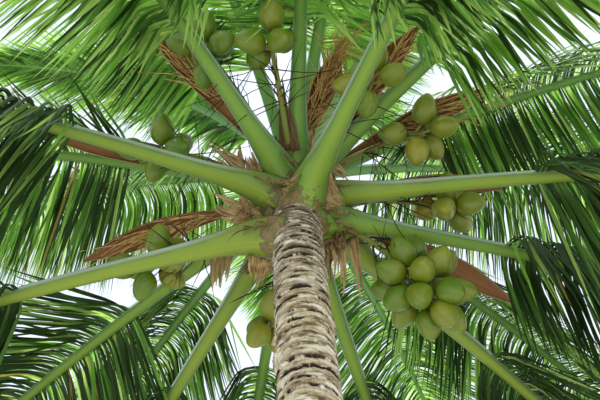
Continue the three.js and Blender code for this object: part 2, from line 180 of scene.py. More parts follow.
# The photograph's frame, and where the foot of the crown shows in it.
FRAME_PIXELS = (600, 400)
FOCAL_PIXELS = 800
CROWN_PIXEL = (296, 212)
SENSOR_MM = 36


def linear(colour):
    """An sRGB hex colour as the linear RGBA that a shader takes."""
    channels = [(colour >> shift & 255) / 255 for shift in (16, 8, 0)]
    return (*[c / 12.92 if c <= 0.04045 else ((c + 0.055) / 1.055) ** 2.4 for c in channels], 1.0)


def colour_property(name, description, colour):
    """A colour that a user may change."""
    return FloatVectorProperty(
        name=name, description=description, subtype="COLOR", size=4, min=0, max=1, default=linear(colour))


def length_property(name, description, default):
    """A length in metres that a user may change."""
    return FloatProperty(name=name, description=description, default=default, min=0, unit="LENGTH")


class TrunkSettings(bpy.types.PropertyGroup):
    """Sizes and colours of the trunk."""
    crown_height: length_property("Crown height", "Height of the foot of the crown", 5.85)
    lean: FloatProperty(
        name="Lean", description="How far the crown stands off to +X", default=-0.3, unit="LENGTH")
    radius: length_property("Radius", "Half the trunk's thickness above the flare", 0.138)
    flare: length_property("Root flare", "What the flare adds to the radius at the ground", 0.105)
    flare_height: length_property("Flare height", "Height over which the flare dies away", 0.33)
    scar_spacing: length_property("Scar spacing", "Mean height between two leaf scars", 0.058)
    scar_depth: length_property("Scar depth", "How deep the cracks at the leaf scars go", 0.018)
    pale: colour_property("Pale bark", "Weathered face of a ring", 0xf6e9c8)
    tan: colour_property("Tan bark", "Fresher bark between the scars", 0xa98a5a)
    # The crack colour is partly torn fibre and partly painted shade in the grooves of the scars.
    crack: colour_property("Crack", "Torn fibre in the scars", 0x2a1c12)


class FrondSettings(bpy.types.PropertyGroup):
    """Sizes and colours of the ribs and leaflets."""
    length: length_property("Length", "Length of a frond from the heart to its tip", 5.0)
    petiole: length_property("Petiole", "Bare stalk before the first leaflet", 1.4)
    petiole_width: length_property("Petiole width", "Width of the stalk beyond its base", 0.126)
    rib_width: length_property("Rib width", "Width of the rib at the first leaflet", 0.086)
    petiole_depth: length_property("Petiole depth", "Depth of the stalk", 0.068)
    rib_depth: length_property("Rib depth", "Depth of the rib at the first leaflet", 0.052)
    clasp: length_property("Clasp", "What the clasping base adds to the stalk's width", 0.19)
    leaflets: IntProperty(
        name="Leaflets", description="Leaflets on each side of a rib", default=400, min=8, max=400)
    leaflet_length: length_property("Leaflet length", "Longest leaflet", 1.24)
    leaflet_width: length_property("Leaflet width", "Widest part of a leaflet", 0.027)
    stripe: colour_property("Stripe", "Middle of the stalk's underside", 0x80a22c)
    flank: colour_property("Flank", "Sides of the stalk", 0x4e8a36)
    # The wax colour is partly waxy bloom and partly a painted reflection of the pale sky on the stalk's edges
    # and upper side.
    wax_and_sheen: colour_property("Wax", "Waxy bloom on the stalk's edges", 0xafc4b6)
    scab: colour_property("Scab", "Corky brown patches at the base", 0x8a7050)


class BunchSettings(bpy.types.PropertyGroup):
    """Sizes and colours of the nuts and their stalks."""
    nut_width: length_property("Nut width", "Thickness of a husked nut", 0.142)
    nut_length: length_property("Nut length", "Length of a husked nut", 0.190)
    stalk_width: length_property("Stalk width", "Thickness of a bunch's stalk at the heart", 0.046)
    stalk_end: length_property("Stalk end", "Thickness of the stalk among the nuts", 0.026)
    twigs: IntProperty(
        name="Dry twigs", description="Dead flower twigs on a bunch", default=26, min=0, max=80)
    green: colour_property("Green husk", "Young side of a husk", 0x587a18)
    gold: colour_property("Gold husk", "Riper side of a husk", 0x969028)
    cap: colour_property("Cap", "Scales round a nut's stem", 0x8c7a44)
    twig: colour_property("Twig", "Dry flower twig", 0x2c2014)


class SpatheSettings(bpy.types.PropertyGroup):
    """Sizes and colours of the spathes and the sheath fibre."""
    width: length_property("Width", "Widest part of a spathe", 0.15)
    depth: length_property("Depth", "Depth of a spathe's trough", 0.048)
    wall: length_property("Wall", "Thickness of a spathe's wood", 0.005)
    inside: colour_property("Inside", "Smooth inner face of a spathe", 0x9c4e20)
    outside: colour_property("Outside", "Ribbed outer face of a spathe", 0xa8743e)
    rim: colour_property("Rim", "Pale cut edge of a spathe", 0xa99672)
    fibre: colour_property("Fibre", "Torn sheath fibre", 0xdcbe8a)
    fibre_dark: colour_property("Dark fibre", "Rotted sheath fibre", 0x98743f)


class StageSettings(bpy.types.PropertyGroup):
    """Camera, floor and light."""
    distance: length_property("Distance", "From the camera to the foot of the crown", 4.8)
    rise: FloatProperty(name="Rise", description="Slope of the view in degrees", default=61)
    floor_size: length_property("Floor", "Side of the square floor", 60)
    floor_colour: colour_property("Floor colour", "Plain pale floor", 0xcac8c2)
    sky_colour: colour_property("Sky colour", "Plain pale surroundings", 0xe4edfc)
    sky_strength: FloatProperty(name="Sky strength", description="Light of the surroundings", default=1.3)
    sun_strength: FloatProperty(name="Sun strength", description="Light of the soft key lamp", default=4.6)


def settings(kind):
    """The scene's settings of one kind of piece."""
    return getattr(bpy.context.scene, "palm_" + kind)


def mix(a, b, part):
    """The value part of the way from a to b."""
    return a + (b - a) * part


def clamp(value, low=0.0, high=1.0):
    """value, kept between low and high."""
    return max(low, min(high, value))


def smooth(value):
    """A soft step from 0 to 1."""
    value = clamp(value)
    return value * value * (3 - 2 * value)


def outward(degrees):
    """The level direction that many degrees round the palm."""
    return Vector((math.cos(math.radians(degrees)), math.sin(math.radians(degrees)), 0))


def random_direction(chance):
    """An even choice among all directions."""
    level = chance.uniform(-1, 1)
    return outward(chance.uniform(0, 360)) * math.sqrt(1 - level * level) + UP * level


def lean_at(height):
    """How far the axis of the palm stands off to +X at a height, or at an array of heights."""
    trunk = settings("trunk")
    part = height / trunk.crown_height
    return trunk.lean * ((1 + LEAN_BEND) * part - LEAN_BEND * part * part)


def trunk_radius(height):
    """Half the trunk's thickness at a height, or at an array of heights."""
    trunk = settings("trunk")
    foot = trunk.crown_height - HEART_DROP
    part = np.clip((height - foot) / (HEART_DROP + HEART_RISE), 0, 1)
    heart = mix(HEART_TIP, trunk.radius, (1 - part) ** HEART_ROUNDNESS)
    stem = trunk.radius + trunk.flare * np.exp(-height / trunk.flare_height)
    return np.where(height < foot, stem, heart)


def from_axis(degrees, reach, height):
    """A point out from the leaning axis of the palm."""
    return outward(degrees) * reach + Vector((lean_at(height), 0, height))


class Frond:
    """One frond's place on the spiral, and its rib's curve in its own upright plane."""

    def __init__(self, index):
        sizes = settings("frond")
        aside, down, low = STRAY.get(index, (0, 0, 0))
        self.index = index
        self.youth = index / (FROND_TOTAL - 1)
        self.late = clamp((self.youth - SPEAR_AGE) / (1 - SPEAR_AGE))
        self.round = SPIRAL_START - SPIRAL_TURN * index + aside
        height = settings("trunk").crown_height - HEART_DROP + FOOT_RISE * index - low
        self.foot = from_axis(self.round, float(trunk_radius(height)), height)
        self.tilt = OLDEST_TILT - TILT_RANGE * self.youth ** TILT_CURVE + down
        self.sag = SAG + SAG_WITH_YOUTH * self.youth
        self.length = sizes.length * (1 - SPEAR_SHORTENING * self.late * self.late)
        self.petiole = sizes.petiole
        self.size = 1 - YOUTH_THINNING * self.youth
        self.side = outward(self.round + 90)
        self.trace()

    def trace(self):
        """Steps along the rib, which hooks up out of the heart and then arches over."""
        self.steps = round(self.length / CURVE_STEP)
        self.points = [self.foot.copy()]
        self.headings = []
        step = self.length / self.steps
        for k in range(self.steps):
            along = (k + 0.5) * step
            hook = HOOK * clamp(1 - along / HOOK_LENGTH) ** 2
            bend = self.sag * (along / self.length) ** SAG_CURVE
            fall = math.radians(self.tilt + bend - hook)
            heading = outward(self.round) * math.sin(fall) + UP * math.cos(fall)
            self.headings.append(heading)
            self.points.append(self.points[-1] + heading * step)

    def place(self, along):
        """The rib's point, its direction, its left and its upper side at a distance from the heart."""
        exact = along / self.length * self.steps
        step = int(clamp(math.floor(exact), 0, self.steps - 1))
        forward = self.headings[step]
        if 0 < exact - 0.5 < self.steps - 1:
            before = int(exact - 0.5)
            forward = self.headings[before].lerp(self.headings[before + 1], exact - 0.5 - before).normalized()
        point = self.points[step] + self.headings[step] * ((exact - step) * self.length / self.steps)
        return point, forward, self.side, forward.cross(self.side)

    def leafy(self, along):
        """How far along its leafy part a place on the rib is, from 0 to 1."""
        return clamp((along - self.petiole) / (self.length - self.petiole))

    def half_width(self, along):
        """Half the rib's width, with the clasping base."""
        sizes = settings("frond")
        stalk = mix(sizes.petiole_width, sizes.rib_width, clamp(along / self.petiole))
        clasp = sizes.clasp * (1 - self.late) * math.exp(-((max(along, 0) / CLASP_REACH) ** CLASP_CURVE))
        return self.size * mix(stalk + clasp, RIB_TIP, self.leafy(along)) / 2

    def half_depth(self, along):
        """Half the rib's depth."""
        sizes = settings("frond")
        stalk = mix(sizes.petiole_depth, sizes.rib_depth, clamp(along / self.petiole))
        return self.size * mix(stalk, RIB_TIP, self.leafy(along)) / 2


def all_fronds():
    """Every frond on the spiral by its index, oldest first."""
    return {index: Frond(index) for index in range(FROND_TOTAL) if index not in FALLEN}


def node(tree, kind, inputs=None, stops=None, **options):
    """Adds a shader node. inputs holds its sockets' values, or the sockets that they are linked to."""
    made = tree.nodes.new(kind)
    for name, value in options.items():
        setattr(made, name, value)
    for socket, value in (inputs or {}).items():
        if isinstance(value, bpy.types.NodeSocket):
            tree.links.new(value, made.inputs[socket])
        else:
            made.inputs[socket].default_value = value
    if stops:
        ramp = made.color_ramp.elements
        while len(ramp) < len(stops):
            ramp.new(1.0)
        for element, (place, value) in zip(ramp, stops):
            element.position = place
            element.color = value if hasattr(value, "__len__") else (value, value, value, 1)
    return made


def new_material(name):
    """An empty material and its node tree."""
    material = bpy.data.materials.new(name)
    material.use_nodes = True
    material.node_tree.nodes.clear()
    return material, material.node_tree


# Refraction of plant skin, wax and wood.
PLANT_IOR = 1.45
# Sockets of a Mix node that share their names with others: two values, two colours, and the mixed colour.
FIRST_VALUE = 2
SECOND_VALUE = 3
FIRST_COLOUR = 6
SECOND_COLOUR = 7
MIXED_COLOUR = 2


def painted(tree, ground, *coats):
    """A ground colour under coats of others. A coat is what it follows, the stops that say how much of it
    shows there, and its colour. Without stops, what it follows is itself how much shows."""
    for follows, stops, coat in coats:
        shows = follows
        if stops:
            shows = node(tree, "ShaderNodeValToRGB", {"Fac": follows}, stops=stops).outputs["Color"]
        mixed = node(
            tree, "ShaderNodeMix", {"Factor": shows, FIRST_COLOUR: ground, SECOND_COLOUR: coat},
            data_type="RGBA")
        ground = mixed.outputs[MIXED_COLOUR]
    return ground


def stretched_noise(tree, vector, scale, detail, roughness=0.5):
    """Noise that is drawn out. scale is how fast it changes along each axis."""
    stretched = node(tree, "ShaderNodeMapping", {"Vector": vector, "Scale": scale}).outputs[0]
    pattern = node(
        tree, "ShaderNodeTexNoise",
        {"Vector": stretched, "Scale": 1.0, "Detail": detail, "Roughness": roughness})
    return pattern.outputs["Fac"]


def finish_material(tree, looks, height=None, strength=1.0, distance=0.002):
    """Joins a surface with these looks to the output, with a bump from height if there is one."""
    shader = node(tree, "ShaderNodeBsdfPrincipled", looks)
    if height is not None:
        bump = node(tree, "ShaderNodeBump", {"Strength": strength, "Distance": distance, "Height": height})
        tree.links.new(bump.outputs["Normal"], shader.inputs["Normal"])
    node(tree, "ShaderNodeOutputMaterial", {"Surface": shader.outputs[0]})


def deselect_all():
    """Leaves nothing selected, so that an operator acts only on what is made next."""
    bpy.ops.object.select_all(action="DESELECT")
    bpy.context.view_layer.objects.active = None


def only(piece):
    """Selects one piece and makes it active."""
    deselect_all()
    piece.select_set(True)
    bpy.context.view_layer.objects.active = piece


def keep_numbers(mesh, values):
    """Keeps named numbers for the points of a mesh, for its material to read."""
    for label, numbers in values.items():
        mesh.attributes.new(label, "FLOAT", "POINT").data.foreach_set("value", numbers)


def soften(mesh):
    """Shades all faces of a mesh smooth."""
    mesh.polygons.foreach_set("use_smooth", [True] * len(mesh.polygons))


def thicken(piece, thickness, **options):
    """Gives a thin piece its wall."""
    only(piece)
    wall = piece.modifiers.new("wall", "SOLIDIFY")
    wall.thickness = thickness
    for name, value in options.items():
        setattr(wall, name, value)
    bpy.ops.object.modifier_apply(modifier="wall")


def settle(piece, slot, *nodes):
    """Puts a finished piece on the palm's body, for the nodes it stands for. Its slot is not used."""
    only(piece)
    bpy.ops.object.transform_apply(location=True, rotation=True, scale=True)
    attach(piece, BODY)
    if nodes:
        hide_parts(*nodes)
    deselect_all()


def nodes_named(start):
    """The frame's nodes whose names start this way."""
    return [name for name in NODES if name.startswith(start)]


class Sweep:
    """Rings of corners joined into one mesh, with a few numbers kept for each corner."""

    def __init__(self, *labels):
        self.points = []
        self.faces = []
        self.values = {label: [] for label in labels}

    def ring(self, corners, **values):
        """Adds a ring and returns the numbers of its corners."""
        first = len(self.points)
        self.points.extend(corners)
        for label, kept in self.values.items():
            given = values[label]
            kept.extend(given if hasattr(given, "__len__") else [given] * len(corners))
        return range(first, len(self.points))

    def bridge(self, near, far, closed=True):
        """Joins two rings with faces. A ring of one corner is a tip."""
        count = len(near)
        for k in range(count if closed else count - 1):
            after = (k + 1) % count
            if len(far) == 1:
                self.faces.append((near[k], near[after], far[0]))
            else:
                self.faces.append((near[k], near[after], far[after], far[k]))

    def cap(self, ring, turned=False):
        """Closes the end of a sweep."""
        self.faces.append(tuple(reversed(ring)) if turned else tuple(ring))

    def piece(self, name, material):
        """The sweep as a new object."""
        mesh = bpy.data.meshes.new(name)
        mesh.from_pydata(self.points, [], self.faces)
        keep_numbers(mesh, self.values)
        mesh.materials.append(material)
        soften(mesh)
        piece = bpy.data.objects.new(name, mesh)
        bpy.context.scene.collection.objects.link(piece)
        return piece


def tapered(thick, thin, count):
    """That many radii, from the first to the last."""
    return [mix(thick, thin, k / (count - 1)) for k in range(count)]


def add_tube(sweep, points, radii, sides):
    """A round tube through points, closed at its start and drawn to a tip at its end."""
    across = None
    before = None
    for k, (point, radius) in enumerate(zip(points, radii)):
        heading = (points[min(k + 1, len(points) - 1)] - points[max(k - 1, 0)]).normalized()
        across = heading.orthogonal() if across is None else across - heading * across.dot(heading)
        across.normalize()
        over = heading.cross(across)
        corners = []
        for side in range(sides):
            turn = math.tau * side / sides
            corners.append(point + across * (radius * math.cos(turn)) + over * (radius * math.sin(turn)))
        ring = sweep.ring(corners)
        if before is None:
            sweep.cap(ring, turned=True)
        else:
            sweep.bridge(before, ring)
        before = ring
    tip = points[-1] + (points[-1] - points[-2]).normalized() * radii[-1]
    sweep.bridge(before, sweep.ring([tip]))


# Trunk

TRUNK_SIDES = 96
HEART_ROWS = 12
TRUNK_SEED = 5
# How cracked the heart is, inside the crown: it lays the crack colour there, which is partly painted shade.
HEART_CRACK = 0.5
# Over this height the scars fade in above the flat cut.
GROUND_FADE = 0.05
SCAR_TOP = 5.80
# Rings are unequal: the least and the most of the mean spacing.
RING_SPREAD = (0.62, 1.45)
# Scars crowd together towards the crown.
CROWDING = 0.55
CROWDING_FROM = 5.1
CROWDING_OVER = 0.5
# Rows of corners for each scar, as parts of the way up to the next one.
SCAR_ROWS = [0.0, 0.09, 0.18, 0.30, 0.52, 0.78, 0.92]
# A scar tilts, waves and frays in metres, and tears in patches of different strength.
SCAR_TILT = 0.018
LEAST_TILT = 0.2
SCAR_WOBBLE = 0.024
FRAY_SHARE = 0.45
PATCH_SHARE = 2.2
SCAR_STRENGTHS = [0.3, 0.5, 0.8, 1.0]
# How fast each of these changes round the trunk.
WAVE_SCALE = 1.3
FRAY_SCALE = 9
PATCH_SCALE = 2.2
TEAR_SCALE = 14
SPAN_SCALE = 4
# Each scar reads the noise at a place of its own in this range, and these far from it for its patches,
# its fine tears and how far they run.
SEED_RANGE = 100
PATCH_SEED = 50
TEAR_SEED = 70
SPAN_SEED = 90
# How far up its ring a scar's tear runs, and from where the tear of the scar above reaches down.
SPAN = 0.36
SPAN_SPREAD = 0.44
LEAST_SPAN = 0.06
ABOVE_FROM = 0.80
ABOVE_OVER = 0.14
# How much the weathering of a ring's own counts against that of the level bands.
RING_SHARE = 0.45
# Between these heights the bark turns young and dull, to this degree.
YOUNG_BARK_FROM = 4.75
YOUNG_BARK_TO = 5.75
YOUNG_BARK_TINT = 0.9
# The lip over a scar, the belly of a ring and the roughness of the bark, in metres.
LIP = 0.006
LIP_FADE = 0.02
RING_BELLY = 0.0015
BARK_ROUGHNESS = 0.0016
ROUGH_SCALE = 5
ROUGH_RISE = 30


def scar_rows():
    """For each row of the trunk's corners: its scar, its part of the way to the next, its height, and the
    scar's height. Then the heights of all scars."""
    trunk = settings("trunk")
    chance = random.Random(TRUNK_SEED)
    heights = [0.0]
    while heights[-1] < SCAR_TOP:
        crowded = mix(1, CROWDING, smooth((heights[-1] - CROWDING_FROM) / CROWDING_OVER))
        heights.append(heights[-1] + trunk.scar_spacing * crowded * chance.uniform(*RING_SPREAD))
    rows = []
    for scar, (low, high) in enumerate(zip(heights, heights[1:])):
        rows.extend((scar, part, mix(low, high, part), low) for part in SCAR_ROWS)
    return rows, heights


def new_scar(chance):
    """How one scar tilts and tears, and how weathered the ring above it is."""
    return dict(
        tilt=chance.uniform(LEAST_TILT, 1) * SCAR_TILT,
        toward=chance.uniform(0, math.tau),
        strength=chance.choice(SCAR_STRENGTHS),
        seed=chance.uniform(0, SEED_RANGE),
        tone=chance.random())


def ringed_tube(rows):
    """An upright tube of unit size with that many rows of corners."""
    bpy.ops.mesh.primitive_cylinder_add(
        vertices=TRUNK_SIDES, radius=1, depth=1, end_fill_type="TRIFAN", location=(0, 0, 0.5))
    piece = bpy.context.active_object
    bpy.ops.object.transform_apply(location=True)
    bpy.ops.object.mode_set(mode="EDIT")
    bpy.ops.mesh.select_all(action="DESELECT")
    shape = bmesh.from_edit_mesh(piece.data)
    for edge in shape.edges:
        edge.select = abs(edge.verts[0].co.z - edge.verts[1].co.z) > 0.5
    bmesh.update_edit_mesh(piece.data)
    bpy.ops.mesh.subdivide_edgering(number_cuts=rows - 2, interpolation="LINEAR")
    bpy.ops.object.mode_set(mode="OBJECT")
    return piece


def trunk_mesh():
    """A tube cut into rows at each leaf scar, then pressed and torn along the scars."""
    trunk = settings("trunk")
    rows, heights = scar_rows()
    top = trunk.crown_height + HEART_RISE
    heart_foot = rows[-1][2]
    count = len(rows) + HEART_ROWS
    piece = ringed_tube(count)
    chance = random.Random(TRUNK_SEED + 1)
    scars = [new_scar(chance) for _ in heights]
    numbers = {"crack": [], "tone": [], "rise": []}
    for vertex in piece.data.vertices:
        row = round(vertex.co.z * (count - 1))
        around = math.atan2(vertex.co.y, vertex.co.x)
        on_axis = math.hypot(vertex.co.x, vertex.co.y) < 0.5
        if row < len(rows):
            scar, part, height, low = rows[row]
            offset, deep = scar_shape(scars[scar], scars[scar + 1], around, part)
            height += offset * smooth(height / GROUND_FADE)
            radius = float(trunk_radius(height)) + relief(deep, part, height, low, around)
        else:
            scar = len(scars) - 1
            part = (row - len(rows) + 1) / HEART_ROWS
            deep = HEART_CRACK
            height = mix(heart_foot, top, part)
            radius = float(trunk_radius(height))
        if on_axis:
            radius = 0
        vertex.co = (lean_at(height) + radius * math.cos(around), radius * math.sin(around), height)
        numbers["crack"].append(deep)
        numbers["tone"].append(scars[scar]["tone"])
        numbers["rise"].append(part)
    keep_numbers(piece.data, numbers)
    return piece


def round_noise(around, scale, level):
    """Noise round the trunk that meets itself. level picks the pattern."""
    return noise.noise((math.cos(around) * scale, math.sin(around) * scale, level))


def scar_offset(scar, around):
    """How far a scar is off its level at a place round the trunk."""
    wave = round_noise(around, WAVE_SCALE, scar["seed"])
    fray = round_noise(around, FRAY_SCALE, scar["seed"])
    return scar["tilt"] * math.cos(around - scar["toward"]) + SCAR_WOBBLE * (wave + FRAY_SHARE * fray)


def scar_tear(scar, around):
    """How deeply a scar is torn at a place round the trunk, from 0 to 1."""
    patch = round_noise(around, PATCH_SCALE, scar["seed"] + PATCH_SEED)
    fine = round_noise(around, TEAR_SCALE, scar["seed"] + TEAR_SEED)
    return scar["strength"] * smooth(0.5 + PATCH_SHARE * patch + fine)


def scar_shape(scar, above, around, part):
    """How far a row is off its level at a place round the trunk, and how deep the crack is there."""
    span = SPAN + SPAN_SPREAD * round_noise(around, SPAN_SCALE, scar["seed"] + SPAN_SEED)
    near_own = smooth(1 - part / max(span, LEAST_SPAN))
    near_above = smooth((part - ABOVE_FROM) / ABOVE_OVER)
    offset = mix(scar_offset(scar, around), scar_offset(above, around), part)
    return offset, max(scar_tear(scar, around) * near_own, scar_tear(above, around) * near_above)


def relief(deep, part, height, low, around):
    """What a leaf scar adds to the trunk's radius: a lip above the crack, and the crack itself."""
    lip = LIP * math.exp(-(height - low) / LIP_FADE)
    belly = RING_BELLY * math.sin(math.pi * part)
    rough = BARK_ROUGHNESS * round_noise(around, ROUGH_SCALE, height * ROUGH_RISE)
    return lip + belly + rough - settings("trunk").scar_depth * deep


def bark_material():
    """Palm bark, grey and weathered: dull, with fine upright fissures, dark torn fibre and painted shade in
    the scars, painted shade at the foot of each ring under its lip, and painted highlights and shade on its
    flakes.
    """
    trunk = settings("trunk")
    material, tree = new_material("weathered palm bark")
    place = node(tree, "ShaderNodeTexCoord").outputs["Object"]
    crack = node(tree, "ShaderNodeAttribute", attribute_name="crack").outputs["Fac"]
    tone = node(tree, "ShaderNodeAttribute", attribute_name="tone").outputs["Fac"]
    rise = node(tree, "ShaderNodeAttribute", attribute_name="rise").outputs["Fac"]
    # Rings weather in level bands a few centimetres high, and fissures run up the stem about 4 mm apart.
    band = stretched_noise(tree, place, (3, 3, 26), 5.0, 0.65)
    fissure = stretched_noise(tree, place, (120, 120, 9), 3.0)
    flake = stretched_noise(tree, place, (9, 9, 40), 5.0, 0.7)
    blotch = node(
        tree, "ShaderNodeTexNoise", {"Vector": place, "Scale": 7.0, "Detail": 6.0, "Roughness": 0.7})
    torn = node(tree, "ShaderNodeTexNoise", {"Vector": place, "Scale": 60.0, "Detail": 4.0})
    banded = node(tree, "ShaderNodeValToRGB", {"Fac": band}, stops=[(0.38, 0.0), (0.62, 1.0)])
    ringed = node(
        tree, "ShaderNodeMix",
        {"Factor": RING_SHARE, FIRST_VALUE: banded.outputs["Color"], SECOND_VALUE: tone})
    level = node(tree, "ShaderNodeSeparateXYZ", {0: place}).outputs["Z"]
    near_crown = node(
        tree, "ShaderNodeMapRange",
        {"Value": level, "From Min": YOUNG_BARK_FROM, "From Max": YOUNG_BARK_TO, "To Max": YOUNG_BARK_TINT})
    torn_crack = node(
        tree, "ShaderNodeMath", {0: crack, 1: torn.outputs["Fac"]}, operation="MULTIPLY", use_clamp=True)
    colour = painted(
        tree, tuple(trunk.tan),
        (ringed.outputs[0], None, tuple(trunk.pale)),
        # The foot of a ring is darkened, partly as a stain and partly as painted shade under its lip, and its
        # upper edge is pale.
        (rise, [(0.0, 0.75), (0.35, 0.25), (0.7, 0.0)], linear(0x7a5c38)),
        (rise, [(0.72, 0.0), (0.9, 0.55)], linear(0xe4dcc4)),
        # The young rings under the crown are duller.
        (near_crown.outputs[0], None, linear(0x7a6c5a)),
        (blotch.outputs["Fac"], [(0.46, 0.0), (0.72, 0.55)], linear(0x6f5a40)),
        (fissure, [(0.34, 0.3), (0.5, 0.0)], linear(0x5d4932)),
        # Flakes are painted paler in places, partly bleached and partly painted highlight, and darker in
        # others as painted shade.
        (flake, [(0.52, 0.0), (0.60, 0.8)], linear(0xf4ecd8)),
        (flake, [(0.38, 0.85), (0.47, 0.0)], linear(0x4a3824)),
        # Dark torn fibre with painted shade, darkest where the scar's groove is deepest.
        (torn_crack.outputs[0], [(0.06, 0.0), (0.24, 1.0)], tuple(trunk.crack)))
    height = node(tree, "ShaderNodeMath", {0: fissure, 1: band}, operation="ADD").outputs[0]
    looks = {"Base Color": colour, "Roughness": 0.82, "IOR": PLANT_IOR, "Specular IOR Level": 0.35}
    finish_material(tree, looks, height, strength=0.55, distance=0.004)
    return material


class PALM_OT_trunk(bpy.types.Operator):
    """Builds the ringed trunk with its root flare and the heart inside the crown"""
    bl_idname = "palm.trunk"
    bl_label = "Trunk"

    def execute(self, context):
        deselect_all()
        piece = trunk_mesh()
        piece.name = "trunk_bark"
        piece.data.materials.append(bark_material())
        soften(piece.data)
        settle(piece, "bark", "trunk")
        return {"FINISHED"}


# Petioles and ribs

RIB_FIRST = -0.06
RIB_STATION = 0.05
RIB_ARC = 12
# A section of the stalk, as parts of its half depth: its edges' height, its keel's drop, and how blunt it is.
EDGE_HEIGHT = 0.55
KEEL_DROP = 1.55
KEEL_BLUNTNESS = 0.85
UPPER_ROW = [(0.86, 0.72), (0.5, 0.42), (0.0, 0.28), (-0.5, 0.42), (-0.86, 0.72)]
# The number for places across the upper side. It is past the edges' 1, so the stripe stays underneath.
UPPER_ACROSS = 1.4
# The clasping base curls round the stem, from where it is this many times as wide as deep.
CURL_FROM = 1.6
CURL_OVER = 1.5
CURL_EDGE = 0.45
GUTTER = 0.34


def rib_section(frond, along):
    """Corners round the rib, from its left edge under the keel to the right, then back over the top."""
    point, _, side, up = frond.place(along)
    half = frond.half_width(along)
    thick = frond.half_depth(along)
    curl = clamp((half / thick - CURL_FROM) / CURL_OVER)
    corners = []
    across = []
    for k in range(RIB_ARC + 1):
        angle = math.pi * k / RIB_ARC
        x = math.cos(angle)
        y = EDGE_HEIGHT - KEEL_DROP * math.sin(angle) ** KEEL_BLUNTNESS
        corners.append((x * half, y * thick))
        across.append(x)
    for x, y in reversed(UPPER_ROW):
        corners.append((x * half, y * thick))
        across.append(math.copysign(UPPER_ACROSS, x))
    placed = []
    for x, y in corners:
        thinned = mix(y, y * mix(1, CURL_EDGE, abs(x) / half), curl)
        placed.append(point + side * x + up * (thinned + GUTTER * curl * x * x / half))
    return placed, across


def ribs_sweep(fronds, leafy, name, material):
    """The bare stalks, closed at the heart, or the leafy ribs, closed at their tips. They meet open."""
    sweep = Sweep("across", "along", "age")
    for frond in fronds:
        start = frond.petiole if leafy else RIB_FIRST
        end = frond.length if leafy else frond.petiole
        count = max(2, round((end - start) / RIB_STATION))
        before = None
        for k in range(count + 1):
            along = mix(start, end, k / count)
            corners, across = rib_section(frond, along)
            ring = sweep.ring(corners, across=across, along=along, age=1 - frond.youth)
            if before is not None:
                sweep.bridge(before, ring)
            elif not leafy:
                sweep.cap(ring, turned=True)
            before = ring
        if leafy:
            sweep.cap(before)
    piece = sweep.piece(name, material)
    only(piece)
    bpy.ops.object.mode_set(mode="EDIT")
    bpy.ops.mesh.select_all(action="SELECT")
    bpy.ops.mesh.normals_make_consistent(inside=False)
    bpy.ops.object.mode_set(mode="OBJECT")
    return piece


